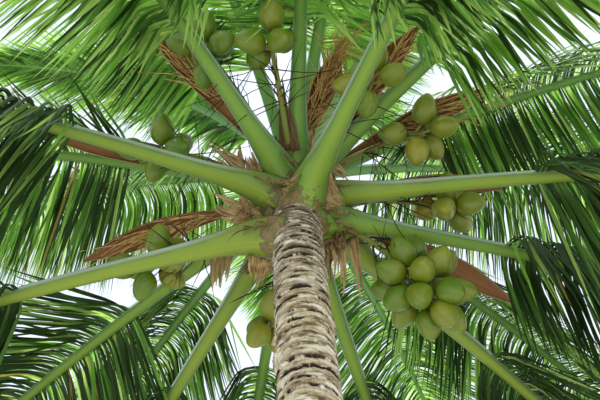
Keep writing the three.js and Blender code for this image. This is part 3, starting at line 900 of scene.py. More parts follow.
def petiole_material():
    """Living palm stalk: a waxy skin with a yellow-green stripe below, green flanks, and grey edges and upper
    side that are partly waxy bloom and partly a painted reflection of the pale sky.
    """
    sizes = settings("frond")
    material, tree = new_material("waxy palm stalk")
    place = node(tree, "ShaderNodeTexCoord").outputs["Object"]
    across = node(tree, "ShaderNodeAttribute", attribute_name="across").outputs["Fac"]
    along = node(tree, "ShaderNodeAttribute", attribute_name="along").outputs["Fac"]
    age = node(tree, "ShaderNodeAttribute", attribute_name="age").outputs["Fac"]
    waver = node(tree, "ShaderNodeTexNoise", {"Vector": place, "Scale": 5.0, "Detail": 4.0}).outputs["Fac"]
    aside = node(tree, "ShaderNodeMath", {0: across}, operation="ABSOLUTE").outputs[0]
    wavering = node(tree, "ShaderNodeMath", {0: waver, 1: 0.5, 2: aside}, operation="MULTIPLY_ADD")
    stripe = node(
        tree, "ShaderNodeValToRGB", {"Fac": wavering.outputs[0]},
        stops=[(0.25, tuple(sizes.stripe)), (0.70, linear(0x6a9832)), (0.95, tuple(sizes.flank)),
               (1.0, linear(0x35641f))])
    # Fibres just under the skin run along the stalk; they are nearer 1 mm apart, drawn at 5 mm to show.
    lines = node(tree, "ShaderNodeCombineXYZ", {"X": across, "Y": along}).outputs[0]
    fibres = stretched_noise(tree, lines, (9, 0.8, 1), 4.0)
    # Waxy bloom with a painted reflection of the pale sky lies on the edges and the upper side, away from the
    # base.
    edge = node(tree, "ShaderNodeValToRGB", {"Fac": aside}, stops=[(0.78, 0.0), (0.96, 0.8)])
    beyond = node(tree, "ShaderNodeValToRGB", {"Fac": along}, stops=[(0.2, 0.0), (0.5, 1.0)])
    wax_and_sheen_mask = node(
        tree, "ShaderNodeMath", {0: edge.outputs["Color"], 1: beyond.outputs["Color"]}, operation="MULTIPLY")
    # Corky scabs and stains crowd at the base.
    spots = node(
        tree, "ShaderNodeTexNoise", {"Vector": place, "Scale": 16.0, "Detail": 6.0, "Roughness": 0.7})
    base = node(tree, "ShaderNodeValToRGB", {"Fac": along}, stops=[(0.03, 0.30), (0.15, 0.0)])
    scabby = node(
        tree, "ShaderNodeMath", {0: spots.outputs["Fac"], 1: base.outputs["Color"]}, operation="ADD")
    cork = node(
        tree, "ShaderNodeValToRGB", {"Fac": scabby.outputs[0]},
        stops=[(0.72, linear(0x4e3b22)), (0.82, tuple(sizes.scab))])
    colour = painted(
        tree, stripe.outputs["Color"],
        (fibres, [(0.35, 0.28), (0.6, 0.0)], linear(0x486b28)),
        # Older stalks turn yellow, and younger ones are a cooler green.
        (age, [(0.35, 0.0), (0.95, 0.32)], linear(0xb6b044)),
        (age, [(0.35, 0.5), (0.85, 0.0)], linear(0x7cb05c)),
        # Waxy bloom and painted sky reflection.
        (wax_and_sheen_mask.outputs[0], None, tuple(sizes.wax_and_sheen)),
        (scabby.outputs[0], [(0.70, 0.0), (0.75, 0.9)], cork.outputs["Color"]))
    looks = {"Base Color": colour, "Roughness": 0.4, "IOR": PLANT_IOR, "Specular IOR Level": 0.35,
             "Coat Weight": 0.06, "Coat Roughness": 0.3}
    finish_material(tree, looks, fibres, strength=0.35, distance=0.003)
    return material


class PALM_OT_ribs(bpy.types.Operator):
    """Builds the clasping petioles and the ribs that carry the leaflets"""
    bl_idname = "palm.ribs"
    bl_label = "Petioles and ribs"

    def execute(self, context):
        fronds = all_fronds().values()
        material = petiole_material()
        petioles = ribs_sweep(fronds, False, "petioles", material)
        ribs = ribs_sweep(fronds, True, "leafy_ribs", material)
        settle(petioles, "frond", *nodes_named("frond"))
        settle(ribs, "frond")
        return {"FINISHED"}


# Leaflets

# Parts of a leaflet's length at which it has a row of corners, closer together where it bends.
LEAFLET_STOPS = [0, 0.06, 0.12, 0.19, 0.28, 0.42, 0.66, 1]
# A leaflet that would touch something is cut back to these parts of its length, and then left out.
LEAFLET_REACHES = [1, 0.75, 0.5, 0.3]
LEAFLET_SEED = 11
# Places on the rib, in steps from leaflet to leaflet: the two sides are half a step apart.
PLACE_FIRST = 0.2
PLACE_HANDED = 0.25
PLACE_SPREAD = 0.2
PLACE_LAST = 0.995
# Young fronds have leaflets nearer the heart, but for those on the far side, with a bare stalk.
YOUNG_START = 0.5
BARE = [11, 16, 19, 24]
# Length: short at the first leaflets, full from here on, shortest at the tip.
FIRST_LENGTH = 0.72
FULL_FROM = 0.25
TIP_SHORTENING = 0.68
LENGTH_SPREAD = (0.86, 1.03)
# Width: a narrow foot that widens fast, and a long point.
FOOT_WIDTH = 0.4
WIDENING = 2.6
POINT_CURVE = 2.6
# Leaflets are thinner on thinner fronds, by this part of what the rib is.
THIN_SHARE = 0.5
WIDTH_SPREAD = (0.85, 1.1)
# How a leaflet leaves the rib, in degrees, and where across the rib it starts.
OPENING_SPREAD = 4.5
RAISE_SPREAD = 3
ROOT_ACROSS = 0.8
# Fronds whose leaflets stand out more and droop less than the rule says.
STIFF = {
    1: 0.30, 3: 0.16, 4: 0.18, 5: 0.10, 6: 0.22, 8: 0.52, 11: 0.16, 13: 0.36, 14: 0.16, 16: 0.10, 19: 0.15,
    21: -0.32,
}
# From this age on, as a part of the spiral, leaflets stiffen.
STIFF_FROM = 0.4
DROOP_SPREAD = 0.03
DROOP_LIMITS = (0.1, 0.98)
# Where along it a leaflet bends over, how long the bend is, and how far the hanging part strays.
BEND_AT_OLD = 0.07
BEND_AT_YOUNG = 0.16
FOLDED_BEND = 0.36
BEND_SPREAD = 0.03
BEND_SPAN = 0.30
SWAY_OLD = 0.09
SWAY_YOUNG = 0.02
# A blade is folded along its middle, less so towards its point, and twists as it hangs.
FOLD = 0.75
FOLD_OPENING = 0.6
LEAFLET_TWIST = 0.6
# Fronds that are painted fresher or duller than their age, as parts of the spiral: partly natural variation,
# partly painted light on fronds that lie in shade and painted shade on fronds that catch more light.
FRESHER = {
    3: -0.1, 4: -0.1, 7: 0.45, 8: -0.15, 9: -0.3, 10: 0.4, 12: 0.4, 13: -0.2, 15: 0.45, 16: -0.15,
    17: -0.3, 20: 0.3, 22: -0.3, 23: 0.3,
}
# How far the face of a leaflet is tinted by the light in it.
GLOW_SHARE = 0.25
# face: colour. glow: colour of the light through it. through: the part of the light let through. share: of
# all leaflets. old, young: how many times as many there are on the oldest and on the youngest frond.
LEAF_TONES = {
    # The deep tone is partly the darker green of old leaflets and partly painted shade: a dark face that lets
    # little light through, most of all on the old fronds.
    "deep": dict(face=0x2c3e20, glow=0x44662e, through=0.30, share=0.30, old=4.6, young=0.1),
    "leaf": dict(face=0x4c6838, glow=0x7cac4e, through=0.44, share=0.34, old=1, young=1),
    "fresh": dict(face=0x669444, glow=0xa8e05c, through=0.56, share=0.22, old=0.4, young=2.8),
    "lime": dict(face=0x98ba64, glow=0xd4f484, through=0.62, share=0.12, old=0.35, young=6.0),
    "straw": dict(face=0x94803f, glow=0xc0a254, through=0.35, share=0.03, old=1, young=1),
}
# Dry leaflets: how many times as many on the oldest frond, at its first leaflets and at its tip.
STRAW_OLD = 2.0
STRAW_FIRST = 0.3
STRAW_TIP = 2.0
# Leaflets are in two halves, from the older and from the younger fronds.
HALVES = ("lower", "upper")
# Starts of the names of pieces that leaflets may touch.
SOFT_PIECES = ("leaf", "dry", "sheath")


def leaf_material(tone):
    """Leathery leaflet, glossy above: light comes through it brighter and yellower than off it."""
    material, tree = new_material("palm leaflet " + tone)
    face = linear(LEAF_TONES[tone]["face"])
    glow = linear(LEAF_TONES[tone]["glow"])
    colour = tuple(mix(a, b, GLOW_SHARE) for a, b in zip(face, glow))
    shader = node(
        tree, "ShaderNodeBsdfPrincipled",
        {"Base Color": colour, "Roughness": 0.5, "IOR": PLANT_IOR, "Specular IOR Level": 0.28})
    through = node(tree, "ShaderNodeBsdfTranslucent", {"Color": glow})
    both = node(
        tree, "ShaderNodeMixShader",
        {"Fac": LEAF_TONES[tone]["through"], 1: shader.outputs[0], 2: through.outputs[0]})
    node(tree, "ShaderNodeOutputMaterial", {"Surface": both.outputs[0]})
    return material


def leaflet_length(frond, part):
    """Leaflets are longest a quarter of the way along, and shorten towards the tip."""
    swell = FIRST_LENGTH + (1 - FIRST_LENGTH) * min(part / FULL_FROM, 1)
    longest = settings("frond").leaflet_length * frond.length / settings("frond").length
    return longest * swell * (1 - TIP_SHORTENING * part * part)


def leaflet_way(frond, along, handed, chance):
    """How a leaflet leaves the rib, how it hangs, how long it is and where it bends."""
    part = frond.leafy(along)
    point, forward, side, up = frond.place(along)
    opening = mix(mix(FIRST_ANGLE, LAST_ANGLE, part), FOLDED_ANGLE, frond.late * frond.late)
    opening = math.radians(opening + chance.gauss(0, OPENING_SPREAD))
    out = forward * math.cos(opening) + side * (handed * math.sin(opening))
    raised = math.radians(LEAFLET_RAISE + chance.gauss(0, RAISE_SPREAD))
    out = (out + up * math.sin(raised)).normalized()
    young = smooth((frond.youth - STIFF_FROM) / (1 - STIFF_FROM))
    droop = mix(DROOP_OLD, DROOP_YOUNG, young) - STIFF.get(frond.index, 0)
    droop = clamp(droop + chance.gauss(0, DROOP_SPREAD), *DROOP_LIMITS)
    sway = random_direction(chance) * mix(SWAY_OLD, SWAY_YOUNG, frond.youth)
    hang = (out * (1 - droop) + DOWN * droop + sway).normalized()
    length = leaflet_length(frond, part) * chance.uniform(*LENGTH_SPREAD)
    bend_at = mix(mix(BEND_AT_OLD, BEND_AT_YOUNG, frond.youth), FOLDED_BEND, frond.late)
    bend_at = chance.gauss(bend_at, BEND_SPREAD)
    root = point + side * (handed * frond.half_width(along) * ROOT_ACROSS)
    return root, out, hang, length, bend_at, forward


def leaflet_spine(root, out, hang, length, bend_at):
    """Points down the middle of a leaflet: it leaves the rib, bends over and hangs."""
    spine = [root]
    headings = []
    for near, far in zip(LEAFLET_STOPS, LEAFLET_STOPS[1:]):
        turn = smooth(0.5 + ((near + far) / 2 - bend_at) / BEND_SPAN)
        heading = (out * (1 - turn) + hang * turn).normalized()
        headings.append(heading)
        spine.append(spine[-1] + heading * (length * (far - near)))
    return spine, headings


def is_clear(spine, obstacles):
    """Whether a leaflet is clear of the trunk, the stalks and the nuts."""
    for near, far in zip(spine[1:], spine[2:]):
        reach = far - near
        if obstacles.ray_cast(near, reach.normalized(), reach.length)[0] is not None:
            return False
    return True


def add_leaflet(sweep, frond, along, handed, chance, obstacles):
    """One blade, folded along its middle, in rows of three corners."""
    root, out, hang, length, bend_at, forward = leaflet_way(frond, along, handed, chance)
    for reach in LEAFLET_REACHES:
        spine, headings = leaflet_spine(root, out, hang, length * reach, bend_at / reach)
        if is_clear(spine, obstacles):
            break
    else:
        return
    width = settings("frond").leaflet_width * mix(frond.size, 1, THIN_SHARE) * chance.uniform(*WIDTH_SPREAD)
    twist = chance.gauss(0, LEAFLET_TWIST)
    before = None
    for part, point, heading in zip(LEAFLET_STOPS[:-1], spine, headings):
        blade = (forward - heading * forward.dot(heading)).normalized()
        blade = Matrix.Rotation(twist * part, 3, heading) @ blade
        face = heading.cross(blade)
        if face.z < 0:
            face = -face
        half = width / 2 * min(1, FOOT_WIDTH + WIDENING * part) * (1 - part ** POINT_CURVE)
        fold = face * (-FOLD * (1 - FOLD_OPENING * part) * half)
        ring = sweep.ring([point - blade * half + fold, point, point + blade * half + fold])
        if before is not None:
            sweep.bridge(before, ring, closed=False)
        before = ring
    sweep.bridge(before, sweep.ring([spine[-1]]), closed=False)


def tone_of(frond, part, chance):
    """Which tone a leaflet has: younger fronds are fresher, old fronds get more of the deep tone of painted
    shade, some fronds are shifted as painted light and shade, and old tips dry to straw.
    """
    fresh = clamp(frond.youth + FRESHER.get(frond.index, 0))
    weights = [tone["share"] * mix(tone["old"], tone["young"], fresh) for tone in LEAF_TONES.values()]
    weights[-1] *= STRAW_OLD * (1 - frond.youth) * mix(STRAW_FIRST, STRAW_TIP, part)
    return chance.choices(list(LEAF_TONES), weights)[0]


def obstacle_tree():
    """What leaflets stay clear of: trunk, stalks, nuts and spathes."""
    points = []
    faces = []
    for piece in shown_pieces():
        if "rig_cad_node" in piece or piece.name.startswith(SOFT_PIECES):
            continue
        first = len(points)
        points.extend(vertex.co.copy() for vertex in piece.data.vertices)
        faces.extend(tuple(first + k for k in face.vertices) for face in piece.data.polygons)
    return BVHTree.FromPolygons(points, faces)


class PALM_OT_leaflets(bpy.types.Operator):
    """Hangs the leaflets on both sides of every rib"""
    bl_idname = "palm.leaflets"
    bl_label = "Leaflets"

    def execute(self, context):
        chance = random.Random(LEAFLET_SEED)
        obstacles = obstacle_tree()
        sweeps = {(tone, half): Sweep() for tone in LEAF_TONES for half in HALVES}
        count = settings("frond").leaflets
        for frond in all_fronds().values():
            half = HALVES[0] if frond.index < FROND_TOTAL / 2 else HALVES[1]
            first = frond.petiole * mix(1, YOUNG_START, 0 if frond.index in BARE else frond.youth)
            for k in range(count):
                for handed in (1, -1):
                    stray = chance.uniform(-PLACE_SPREAD, PLACE_SPREAD)
                    step = (k + PLACE_FIRST + PLACE_HANDED * handed + stray) / count
                    along = mix(first, frond.length, clamp(step, 0, PLACE_LAST))
                    tone = tone_of(frond, step, chance)
                    add_leaflet(sweeps[tone, half], frond, along, handed, chance, obstacles)
        for tone in LEAF_TONES:
            material = leaf_material(tone)
            for half in HALVES:
                settle(sweeps[tone, half].piece(f"leaflets_{tone}_{half}", material), "frond")
        return {"FINISHED"}


# Nuts, stalks and twigs

NUT_SEGMENTS = 24
NUT_RINGS = 14
NUT_SEED = 3
# A husk, as parts of its radius: its three ridges, its fuller stem half and its slimmer tip half.
NUT_RIDGE = 0.055
NUT_FULLNESS = 0.10
NUT_FULL_SHARE = 1.5
NUT_SLIMNESS = 0.10
NUT_SLIM_FROM = 0.55
# The beak at its tip, in metres, and from where on it rises.
NUT_BEAK = 0.006
NUT_BEAK_FROM = 0.93
# A cap has two layers of three scales. Their sizes are parts of a nut's width.
CAP_LAYERS = 2
CAP_SCALES = 3
CAP_ROWS = 4
CAP_START = 0.06
CAP_END = 0.36
CAP_INNER = 0.05
CAP_LIFT = 0.02
CAP_RISE = 0.17
CAP_RISE_CURVE = 1.6
CAP_SPREAD = 1.05
CAP_NARROWING = 0.75
CAP_WALL = 0.003
# How nuts differ: ripeness of a bunch and of its nuts, size, and where their stems leave the stalk.
BUNCH_RIPENESS = (0.0, 0.45)
NUT_RIPENESS = (-0.2, 0.25)
NUT_SCALES = (0.93, 1.03)
HUB_SPREAD = (-0.02, 0.08)
STALK_SIDES = 10
# A stalk's mesh has this many times the steps of the rule that it follows.
STALK_FINENESS = 4
STEM_SIDES = 6
# A nut's stem sags at its middle, and bends most near there: at these parts of the way in and out.
STEM_SAG = 0.02
STEM_IN = 0.7
STEM_OUT = 0.6
STEM_RADII = [0.009, 0.008, 0.008, 0.009, 0.010]
# Dead flower twigs: crooked, falling towards their tips, and spread away from the heart.
TWIG_STEPS = 7
TWIG_CROOK = 0.07
TWIG_FALL = 0.06
TWIG_SIDES = 4
TWIG_RADII = (0.0042, 0.0014)
TWIG_LENGTHS = (0.22, 0.46)
TWIGS_OUTWARD = 0.4


def arch_points(foot, end, arch, steps):
    """Points along an arching stalk, from inside the heart to its far end."""
    crest = foot.lerp(end, 0.5)
    crest.z = max(foot.z, end.z) + arch
    points = []
    for k in range(steps + 1):
        part = k / steps
        points.append(foot * (1 - part) ** 2 + crest * (2 * part * (1 - part)) + end * part ** 2)
    return points


def heart_point(degrees, height):
    """A point inside the heart, where a stalk starts."""
    return from_axis(degrees, float(trunk_radius(height)) * HEART_REACH, height)


def nut_places(bunch, middle, back, ribs):
    """The middles of a bunch's nuts, each with the direction that its tip points in."""
    least = settings("bunch").nut_width / 2 + NUT_CLEARANCE
    places = []
    for nut in range(bunch["nuts"]):
        level = 1 - (2 * nut + 1) / bunch["nuts"]
        out = outward(nut * GOLDEN_ANGLE) * math.sqrt(1 - level * level) + UP * level
        place = middle + out * bunch["spread"] + back * (CLUSTER_STRETCH * bunch["spread"] * out.dot(back))
        clear = np.linalg.norm(ribs - np.array(place), axis=1).min() > least
        if clear and out.dot(back) < STALK_SIDE:
            places.append((place, (place - middle).normalized()))
    return places


def nut_model():
    """One husked nut at the origin, stem up the -Z side: a ball drawn out, blunt and three-sided."""
    sizes = settings("bunch")
    deselect_all()
    bpy.ops.mesh.primitive_uv_sphere_add(segments=NUT_SEGMENTS, ring_count=NUT_RINGS, radius=0.5)
    piece = bpy.context.active_object
    bpy.ops.object.mode_set(mode="EDIT")
    bpy.ops.mesh.select_all(action="SELECT")
    bpy.ops.transform.resize(value=(sizes.nut_width, sizes.nut_width, sizes.nut_length))
    bpy.ops.object.mode_set(mode="OBJECT")
    for vertex in piece.data.vertices:
        part = vertex.co.z / sizes.nut_length + 0.5
        around = math.atan2(vertex.co.y, vertex.co.x)
        ridge = 1 + NUT_RIDGE * math.cos(3 * around) * math.sin(math.pi * part)
        full = 1 + NUT_FULLNESS * math.sin(math.pi * clamp(part * NUT_FULL_SHARE)) * (1 - part)
        slim = 1 - NUT_SLIMNESS * clamp((part - NUT_SLIM_FROM) / (1 - NUT_SLIM_FROM))
        vertex.co.x *= ridge * full * slim
        vertex.co.y *= ridge * full * slim
        vertex.co.z += NUT_BEAK * clamp((part - NUT_BEAK_FROM) / (1 - NUT_BEAK_FROM))
    return piece


def cap_model():
    """The scaly cap round a nut's stem: two layers of broad scales, one inside the other."""
    width = settings("bunch").nut_width
    sweep = Sweep()
    for layer in range(CAP_LAYERS):
        for scale in range(CAP_SCALES):
            turn = math.tau * (scale + 0.5 * layer) / CAP_SCALES
            rows = []
            for row in range(CAP_ROWS + 1):
                part = row / CAP_ROWS
                reach = width * mix(CAP_START, CAP_END - CAP_INNER * layer, part)
                rise = width * (CAP_LIFT + CAP_RISE * part ** CAP_RISE_CURVE - CAP_LIFT * layer)
                spread = CAP_SPREAD * (1 - part ** 3 * CAP_NARROWING)
                corners = []
                for k in range(-2, 3):
                    angle = turn + spread * k / 2
                    corners.append(Vector((reach * math.cos(angle), reach * math.sin(angle), rise)))
                rows.append(sweep.ring(corners))
            for near, far in zip(rows, rows[1:]):
                sweep.bridge(near, far, closed=False)
    piece = sweep.piece("cap", None)
    thicken(piece, CAP_WALL, offset=0)
    return piece


def take_mesh(piece):
    """The model's points and faces, and then the model is removed."""
    points = [vertex.co.copy() for vertex in piece.data.vertices]
    faces = [tuple(face.vertices) for face in piece.data.polygons]
    bpy.data.objects.remove(piece)
    return points, faces


def add_copy(sweep, model, place, axis, turn, scale, **values):
    """One more copy of a model, its +Z laid along an axis."""
    points, faces = model
    turned = axis.to_track_quat("Z", "Y").to_matrix() @ Matrix.Rotation(turn, 3, "Z")
    corners = [place + turned @ (point * scale) for point in points]
    ring = sweep.ring(corners, **values)
    sweep.faces.extend(tuple(ring[k] for k in face) for face in faces)


def add_twig(sweep, start, heading, length, radii, chance, crook=TWIG_CROOK, sides=TWIG_SIDES):
    """One dead flower twig, or a loose strand, with its radii at its foot and near its tip."""
    points = [start]
    for _ in range(TWIG_STEPS):
        astray = Vector((chance.gauss(0, 1), chance.gauss(0, 1), chance.gauss(0, 1))) * crook
        heading = (heading + astray + DOWN * TWIG_FALL).normalized()
        points.append(points[-1] + heading * (length / TWIG_STEPS))
    add_tube(sweep, points, tapered(*radii, len(points)), sides)


def add_bunch(sweeps, models, bunch, fronds, ribs, chance):
    """One bunch: an arching stalk, nuts with their caps and stems, and the dead twigs of its flowers."""
    sizes = settings("bunch")
    middle = from_axis(bunch["round"], bunch["reach"], settings("trunk").crown_height + bunch["height"])
    foot = heart_point(bunch["start"], fronds[bunch["axil"]].foot.z + STALK_ABOVE_FOOT)
    coarse = arch_points(foot, middle, STALK_ARCH, STALK_STEPS)
    fine = arch_points(foot, middle, STALK_ARCH, STALK_FINENESS * STALK_STEPS)
    back = (coarse[-2] - middle).normalized()
    radii = tapered(sizes.stalk_width / 2, sizes.stalk_end / 2, len(fine))
    add_tube(sweeps["stalks"], fine, radii, STALK_SIDES)
    tips = [point.z / sizes.nut_length + 0.5 for point in models["nuts"][0]]
    bunch_ripe = chance.uniform(*BUNCH_RIPENESS)
    for place, axis in nut_places(bunch, middle, back, ribs):
        hub = middle + back * chance.uniform(*HUB_SPREAD)
        scale = chance.uniform(*NUT_SCALES)
        turn = chance.uniform(0, math.tau)
        ripe = clamp(bunch_ripe + chance.uniform(*NUT_RIPENESS))
        stem = place - axis * (sizes.nut_length / 2 * scale)
        add_copy(sweeps["nuts"], models["nuts"], place, axis, turn, scale, ripe=ripe, tip=tips)
        add_copy(sweeps["caps"], models["caps"], stem, axis, turn, scale)
        sag = hub.lerp(stem, 0.5) + DOWN * STEM_SAG
        path = [hub, hub.lerp(sag, STEM_IN), sag, sag.lerp(stem, STEM_OUT), stem]
        add_tube(sweeps["stalks"], path, STEM_RADII, STEM_SIDES)
    for _ in range(sizes.twigs):
        start = coarse[-2].lerp(coarse[-4], chance.random())
        way = (random_direction(chance) + outward(bunch["round"]) * TWIGS_OUTWARD).normalized()
        add_twig(sweeps["twigs"], start, way, chance.uniform(*TWIG_LENGTHS), TWIG_RADII, chance)


def husk_material():
    """Coconut husk: smooth and faintly waxy, olive to gold, with pale scuffs and a brown tip."""
    sizes = settings("bunch")
    material, tree = new_material("green coconut husk")
    place = node(tree, "ShaderNodeTexCoord").outputs["Object"]
    ripe = node(tree, "ShaderNodeAttribute", attribute_name="ripe").outputs["Fac"]
    tip = node(tree, "ShaderNodeAttribute", attribute_name="tip").outputs["Fac"]
    cloud = node(tree, "ShaderNodeTexNoise", {"Vector": place, "Scale": 8.0, "Detail": 4.0}).outputs["Fac"]
    tint = node(tree, "ShaderNodeMath", {0: cloud, 1: 0.7, 2: ripe}, operation="MULTIPLY_ADD").outputs[0]
    brown = node(tree, "ShaderNodeMath", {0: cloud, 1: 0.35, 2: tip}, operation="MULTIPLY_ADD").outputs[0]
    scuffs = node(
        tree, "ShaderNodeTexNoise", {"Vector": place, "Scale": 34.0, "Detail": 5.0, "Roughness": 0.7})
    colour = painted(
        tree, tuple(sizes.green),
        (tint, [(0.30, 0.0), (1.0, 1.0)], tuple(sizes.gold)),
        (scuffs.outputs["Fac"], [(0.60, 0.0), (0.74, 0.55)], linear(0x8d7c46)),
        # The brown tip has a hard edge.
        (brown, [(1.0, 0.0), (1.0, 0.8)], linear(0x5f4526)))
    looks = {"Base Color": colour, "Roughness": 0.32, "IOR": PLANT_IOR, "Specular IOR Level": 0.6}
    finish_material(tree, looks, scuffs.outputs["Fac"], strength=0.18, distance=0.002)
    return material


def plain_fibre_material(name, first, second, scale, roughness):
    """Dry plant fibre in two tones: dull, drawn in streaks."""
    material, tree = new_material(name)
    place = node(tree, "ShaderNodeTexCoord").outputs["Object"]
    streak = node(
        tree, "ShaderNodeTexNoise", {"Vector": place, "Scale": scale, "Detail": 6.0, "Roughness": 0.7})
    colour = painted(tree, first, (streak.outputs["Fac"], [(0.36, 0.0), (0.66, 1.0)], second))
    looks = {"Base Color": colour, "Roughness": roughness, "IOR": PLANT_IOR, "Specular IOR Level": 0.3}
    finish_material(tree, looks, streak.outputs["Fac"], strength=0.7, distance=0.003)
    return material


class PALM_OT_bunches(bpy.types.Operator):
    """Builds the nuts with their caps, the stalks that carry them and the dry flower twigs"""
    bl_idname = "palm.bunches"
    bl_label = "Bunches of nuts"

    def execute(self, context):
        sizes = settings("bunch")
        chance = random.Random(NUT_SEED)
        fronds = all_fronds()
        ribs = np.array([tuple(point) for frond in fronds.values() for point in frond.points])
        models = {"nuts": take_mesh(nut_model()), "caps": take_mesh(cap_model())}
        sweeps = {"nuts": Sweep("ripe", "tip"), "caps": Sweep(), "stalks": Sweep(), "twigs": Sweep()}
        for bunch in BUNCHES:
            add_bunch(sweeps, models, bunch, fronds, ribs, chance)
        scale = plain_fibre_material("dry cap scale", tuple(sizes.cap), linear(0x4e3d22), 40, 0.7)
        stalk = plain_fibre_material("green fruit stalk", linear(0x7c8f3c), linear(0x8f8444), 12, 0.5)
        twig = plain_fibre_material("dead flower twig", tuple(sizes.twig), linear(0x54401f), 30, 0.8)
        settle(sweeps["nuts"].piece("nuts", husk_material()), "nut", *nodes_named("bunch"))
        settle(sweeps["caps"].piece("nut_caps", scale), "nut")
        settle(sweeps["stalks"].piece("bunch_stalks", stalk), "nut")
        settle(sweeps["twigs"].piece("dry_twigs", twig), "spathe")
        return {"FINISHED"}


# Spathes

SPATHE_ROWS = 30
SPATHE_COLUMNS = 12
SPATHE_STEPS = 16
SPATHE_SEED = 21
# How far its section curls to each side, in half turns, and how high its edges are kept.
SPATHE_CURL = 0.56
SPATHE_LIFT = 0.2
# How ragged its edges are, and how far it sways along its length.
SPATHE_RAGGED = 0.06
RAGGED_SCALE = 6
SPATHE_SWAY = 0.012
SWAY_SCALE = 2.5
SWAY_LEVEL = 7.0
# Its edges stay sharp where faces meet at more than this many degrees.
SPATHE_SHARP = 50


def spathe_path(spathe, fronds):
    """Points along a spathe, from inside the heart to its tip."""
    foot = heart_point(spathe["start"], fronds[spathe["axil"]].foot.z + SPATHE_ABOVE_FOOT)
    tip = from_axis(spathe["round"], spathe["reach"], settings("trunk").crown_height + spathe["height"])
    return arch_points(foot, tip, SPATHE_ARCH, SPATHE_STEPS)


def spathe_points(path, seed, grid):
    """Bends a flat grid into a trough along a path: a hood over the bunch, pointed at its tip."""
    sizes = settings("spathe")
    rows = len(path) - 1
    moved = []
    for corner in grid:
        part = corner.y
        exact = part * rows
        k = min(int(exact), rows - 1)
        point = path[k].lerp(path[k + 1], exact - k)
        forward = (path[k + 1] - path[k]).normalized()
        side = Vector((-forward.y, forward.x, 0)).normalized()
        up = forward.cross(side)
        belly = math.sin(math.pi * part ** SPATHE_FULLEST)
        size = max(belly, mix(SPATHE_NECK, SPATHE_POINT, part))
        half = sizes.width / 2 * size
        angle = corner.x * math.pi * SPATHE_CURL
        ragged = 1 + SPATHE_RAGGED * noise.noise((part * RAGGED_SCALE, corner.x, seed))
        across = half * math.sin(angle) / math.sin(math.pi * SPATHE_CURL) * ragged
        above = sizes.depth * size * (math.cos(angle) + SPATHE_LIFT) / (1 + SPATHE_LIFT)
        sway = SPATHE_SWAY * noise.noise((part * SWAY_SCALE, SWAY_LEVEL, seed))
        moved.append(point + side * (across + sway) + up * above)
    return moved


def spathe_trough(path, seed, materials):
    """An open trough of wood along a path, ribbed outside, smooth inside, with a cut edge."""
    deselect_all()
    bpy.ops.mesh.primitive_grid_add(
        x_subdivisions=SPATHE_COLUMNS, y_subdivisions=SPATHE_ROWS, size=1, location=(0, 0.5, 0))
    piece = bpy.context.active_object
    bpy.ops.object.transform_apply(location=True)
    grid = [Vector((vertex.co.x * 2, vertex.co.y, 0)) for vertex in piece.data.vertices]
    moved = spathe_points(path, seed, grid)
    piece.data.vertices.foreach_set("co", [value for point in moved for value in point])
    keep_numbers(
        piece.data, {"across": [corner.x for corner in grid], "along": [corner.y for corner in grid]})
    for material in materials:
        piece.data.materials.append(material)
    thicken(piece, settings("spathe").wall, offset=-1, material_offset=1, material_offset_rim=2)
    soften(piece.data)
    only(piece)
    bpy.ops.object.shade_smooth_by_angle(angle=math.radians(SPATHE_SHARP))
    return piece


def spathe_material(name, first, second):
    """Woody spathe: dull brown wood with fine ribs running to its point."""
    material, tree = new_material(name)
    across = node(tree, "ShaderNodeAttribute", attribute_name="across").outputs["Fac"]
    along = node(tree, "ShaderNodeAttribute", attribute_name="along").outputs["Fac"]
    lines = node(tree, "ShaderNodeCombineXYZ", {"X": across, "Y": along}).outputs[0]
    ribs = stretched_noise(tree, lines, (16, 3, 1), 5.0)
    colour = painted(tree, first, (ribs, [(0.32, 0.0), (0.70, 1.0)], second))
    looks = {"Base Color": colour, "Roughness": 0.55, "IOR": PLANT_IOR, "Specular IOR Level": 0.4}
    finish_material(tree, looks, ribs, strength=0.6, distance=0.003)
    return material


class PALM_OT_spathes(bpy.types.Operator):
    """Builds the boat-shaped spathes as open wooden troughs"""
    bl_idname = "palm.spathes"
    bl_label = "Spathes"

    def execute(self, context):
        sizes = settings("spathe")
        fronds = all_fronds()
        materials = [
            spathe_material("spathe wood outside", tuple(sizes.outside), linear(0x68452a)),
            spathe_material("spathe wood inside", tuple(sizes.inside), linear(0x5e2c12)),
            spathe_material("spathe cut edge", tuple(sizes.rim), linear(0x8d7c64)),
        ]
        for number, spathe in enumerate(SPATHES, 1):
            piece = spathe_trough(spathe_path(spathe, fronds), SPATHE_SEED + number, materials)
            piece.name = f"spathe_wood_{number}"
            settle(piece, "spathe", f"spathe_{number}")
        return {"FINISHED"}


# Dry flower sprays

SPRAY_SEED = 31
SPRAY_RADII = (0.0045, 0.0018)
SPRAY_LENGTHS = (0.2, 0.46)
# Where its twigs start: this far along from a point of the spathe's path, and this far to any side.
SPRAY_ALONG = 0.05
SPRAY_ASIDE = 0.03
# How its twigs point: apart from each other and downwards, as parts of the way forward.
SPRAY_APART = 0.42
SPRAY_DOWN = 0.12
# number: the spathe that the spray hangs beside. first, last: the part of the spathe's path with twigs.
# twigs: how many. crook: how crooked they are.
SPRAYS = [
    dict(number=5, first=0.25, last=1.1, twigs=110, crook=0.13),
    dict(number=4, first=0.45, last=1.0, twigs=30, crook=0.03),
    dict(number=3, first=0.55, last=1.0, twigs=34, crook=0.03),
    dict(number=6, first=0.5, last=1.0, twigs=34, crook=0.06),
    dict(number=8, first=0.35, last=0.8, twigs=40, crook=0.05),
]


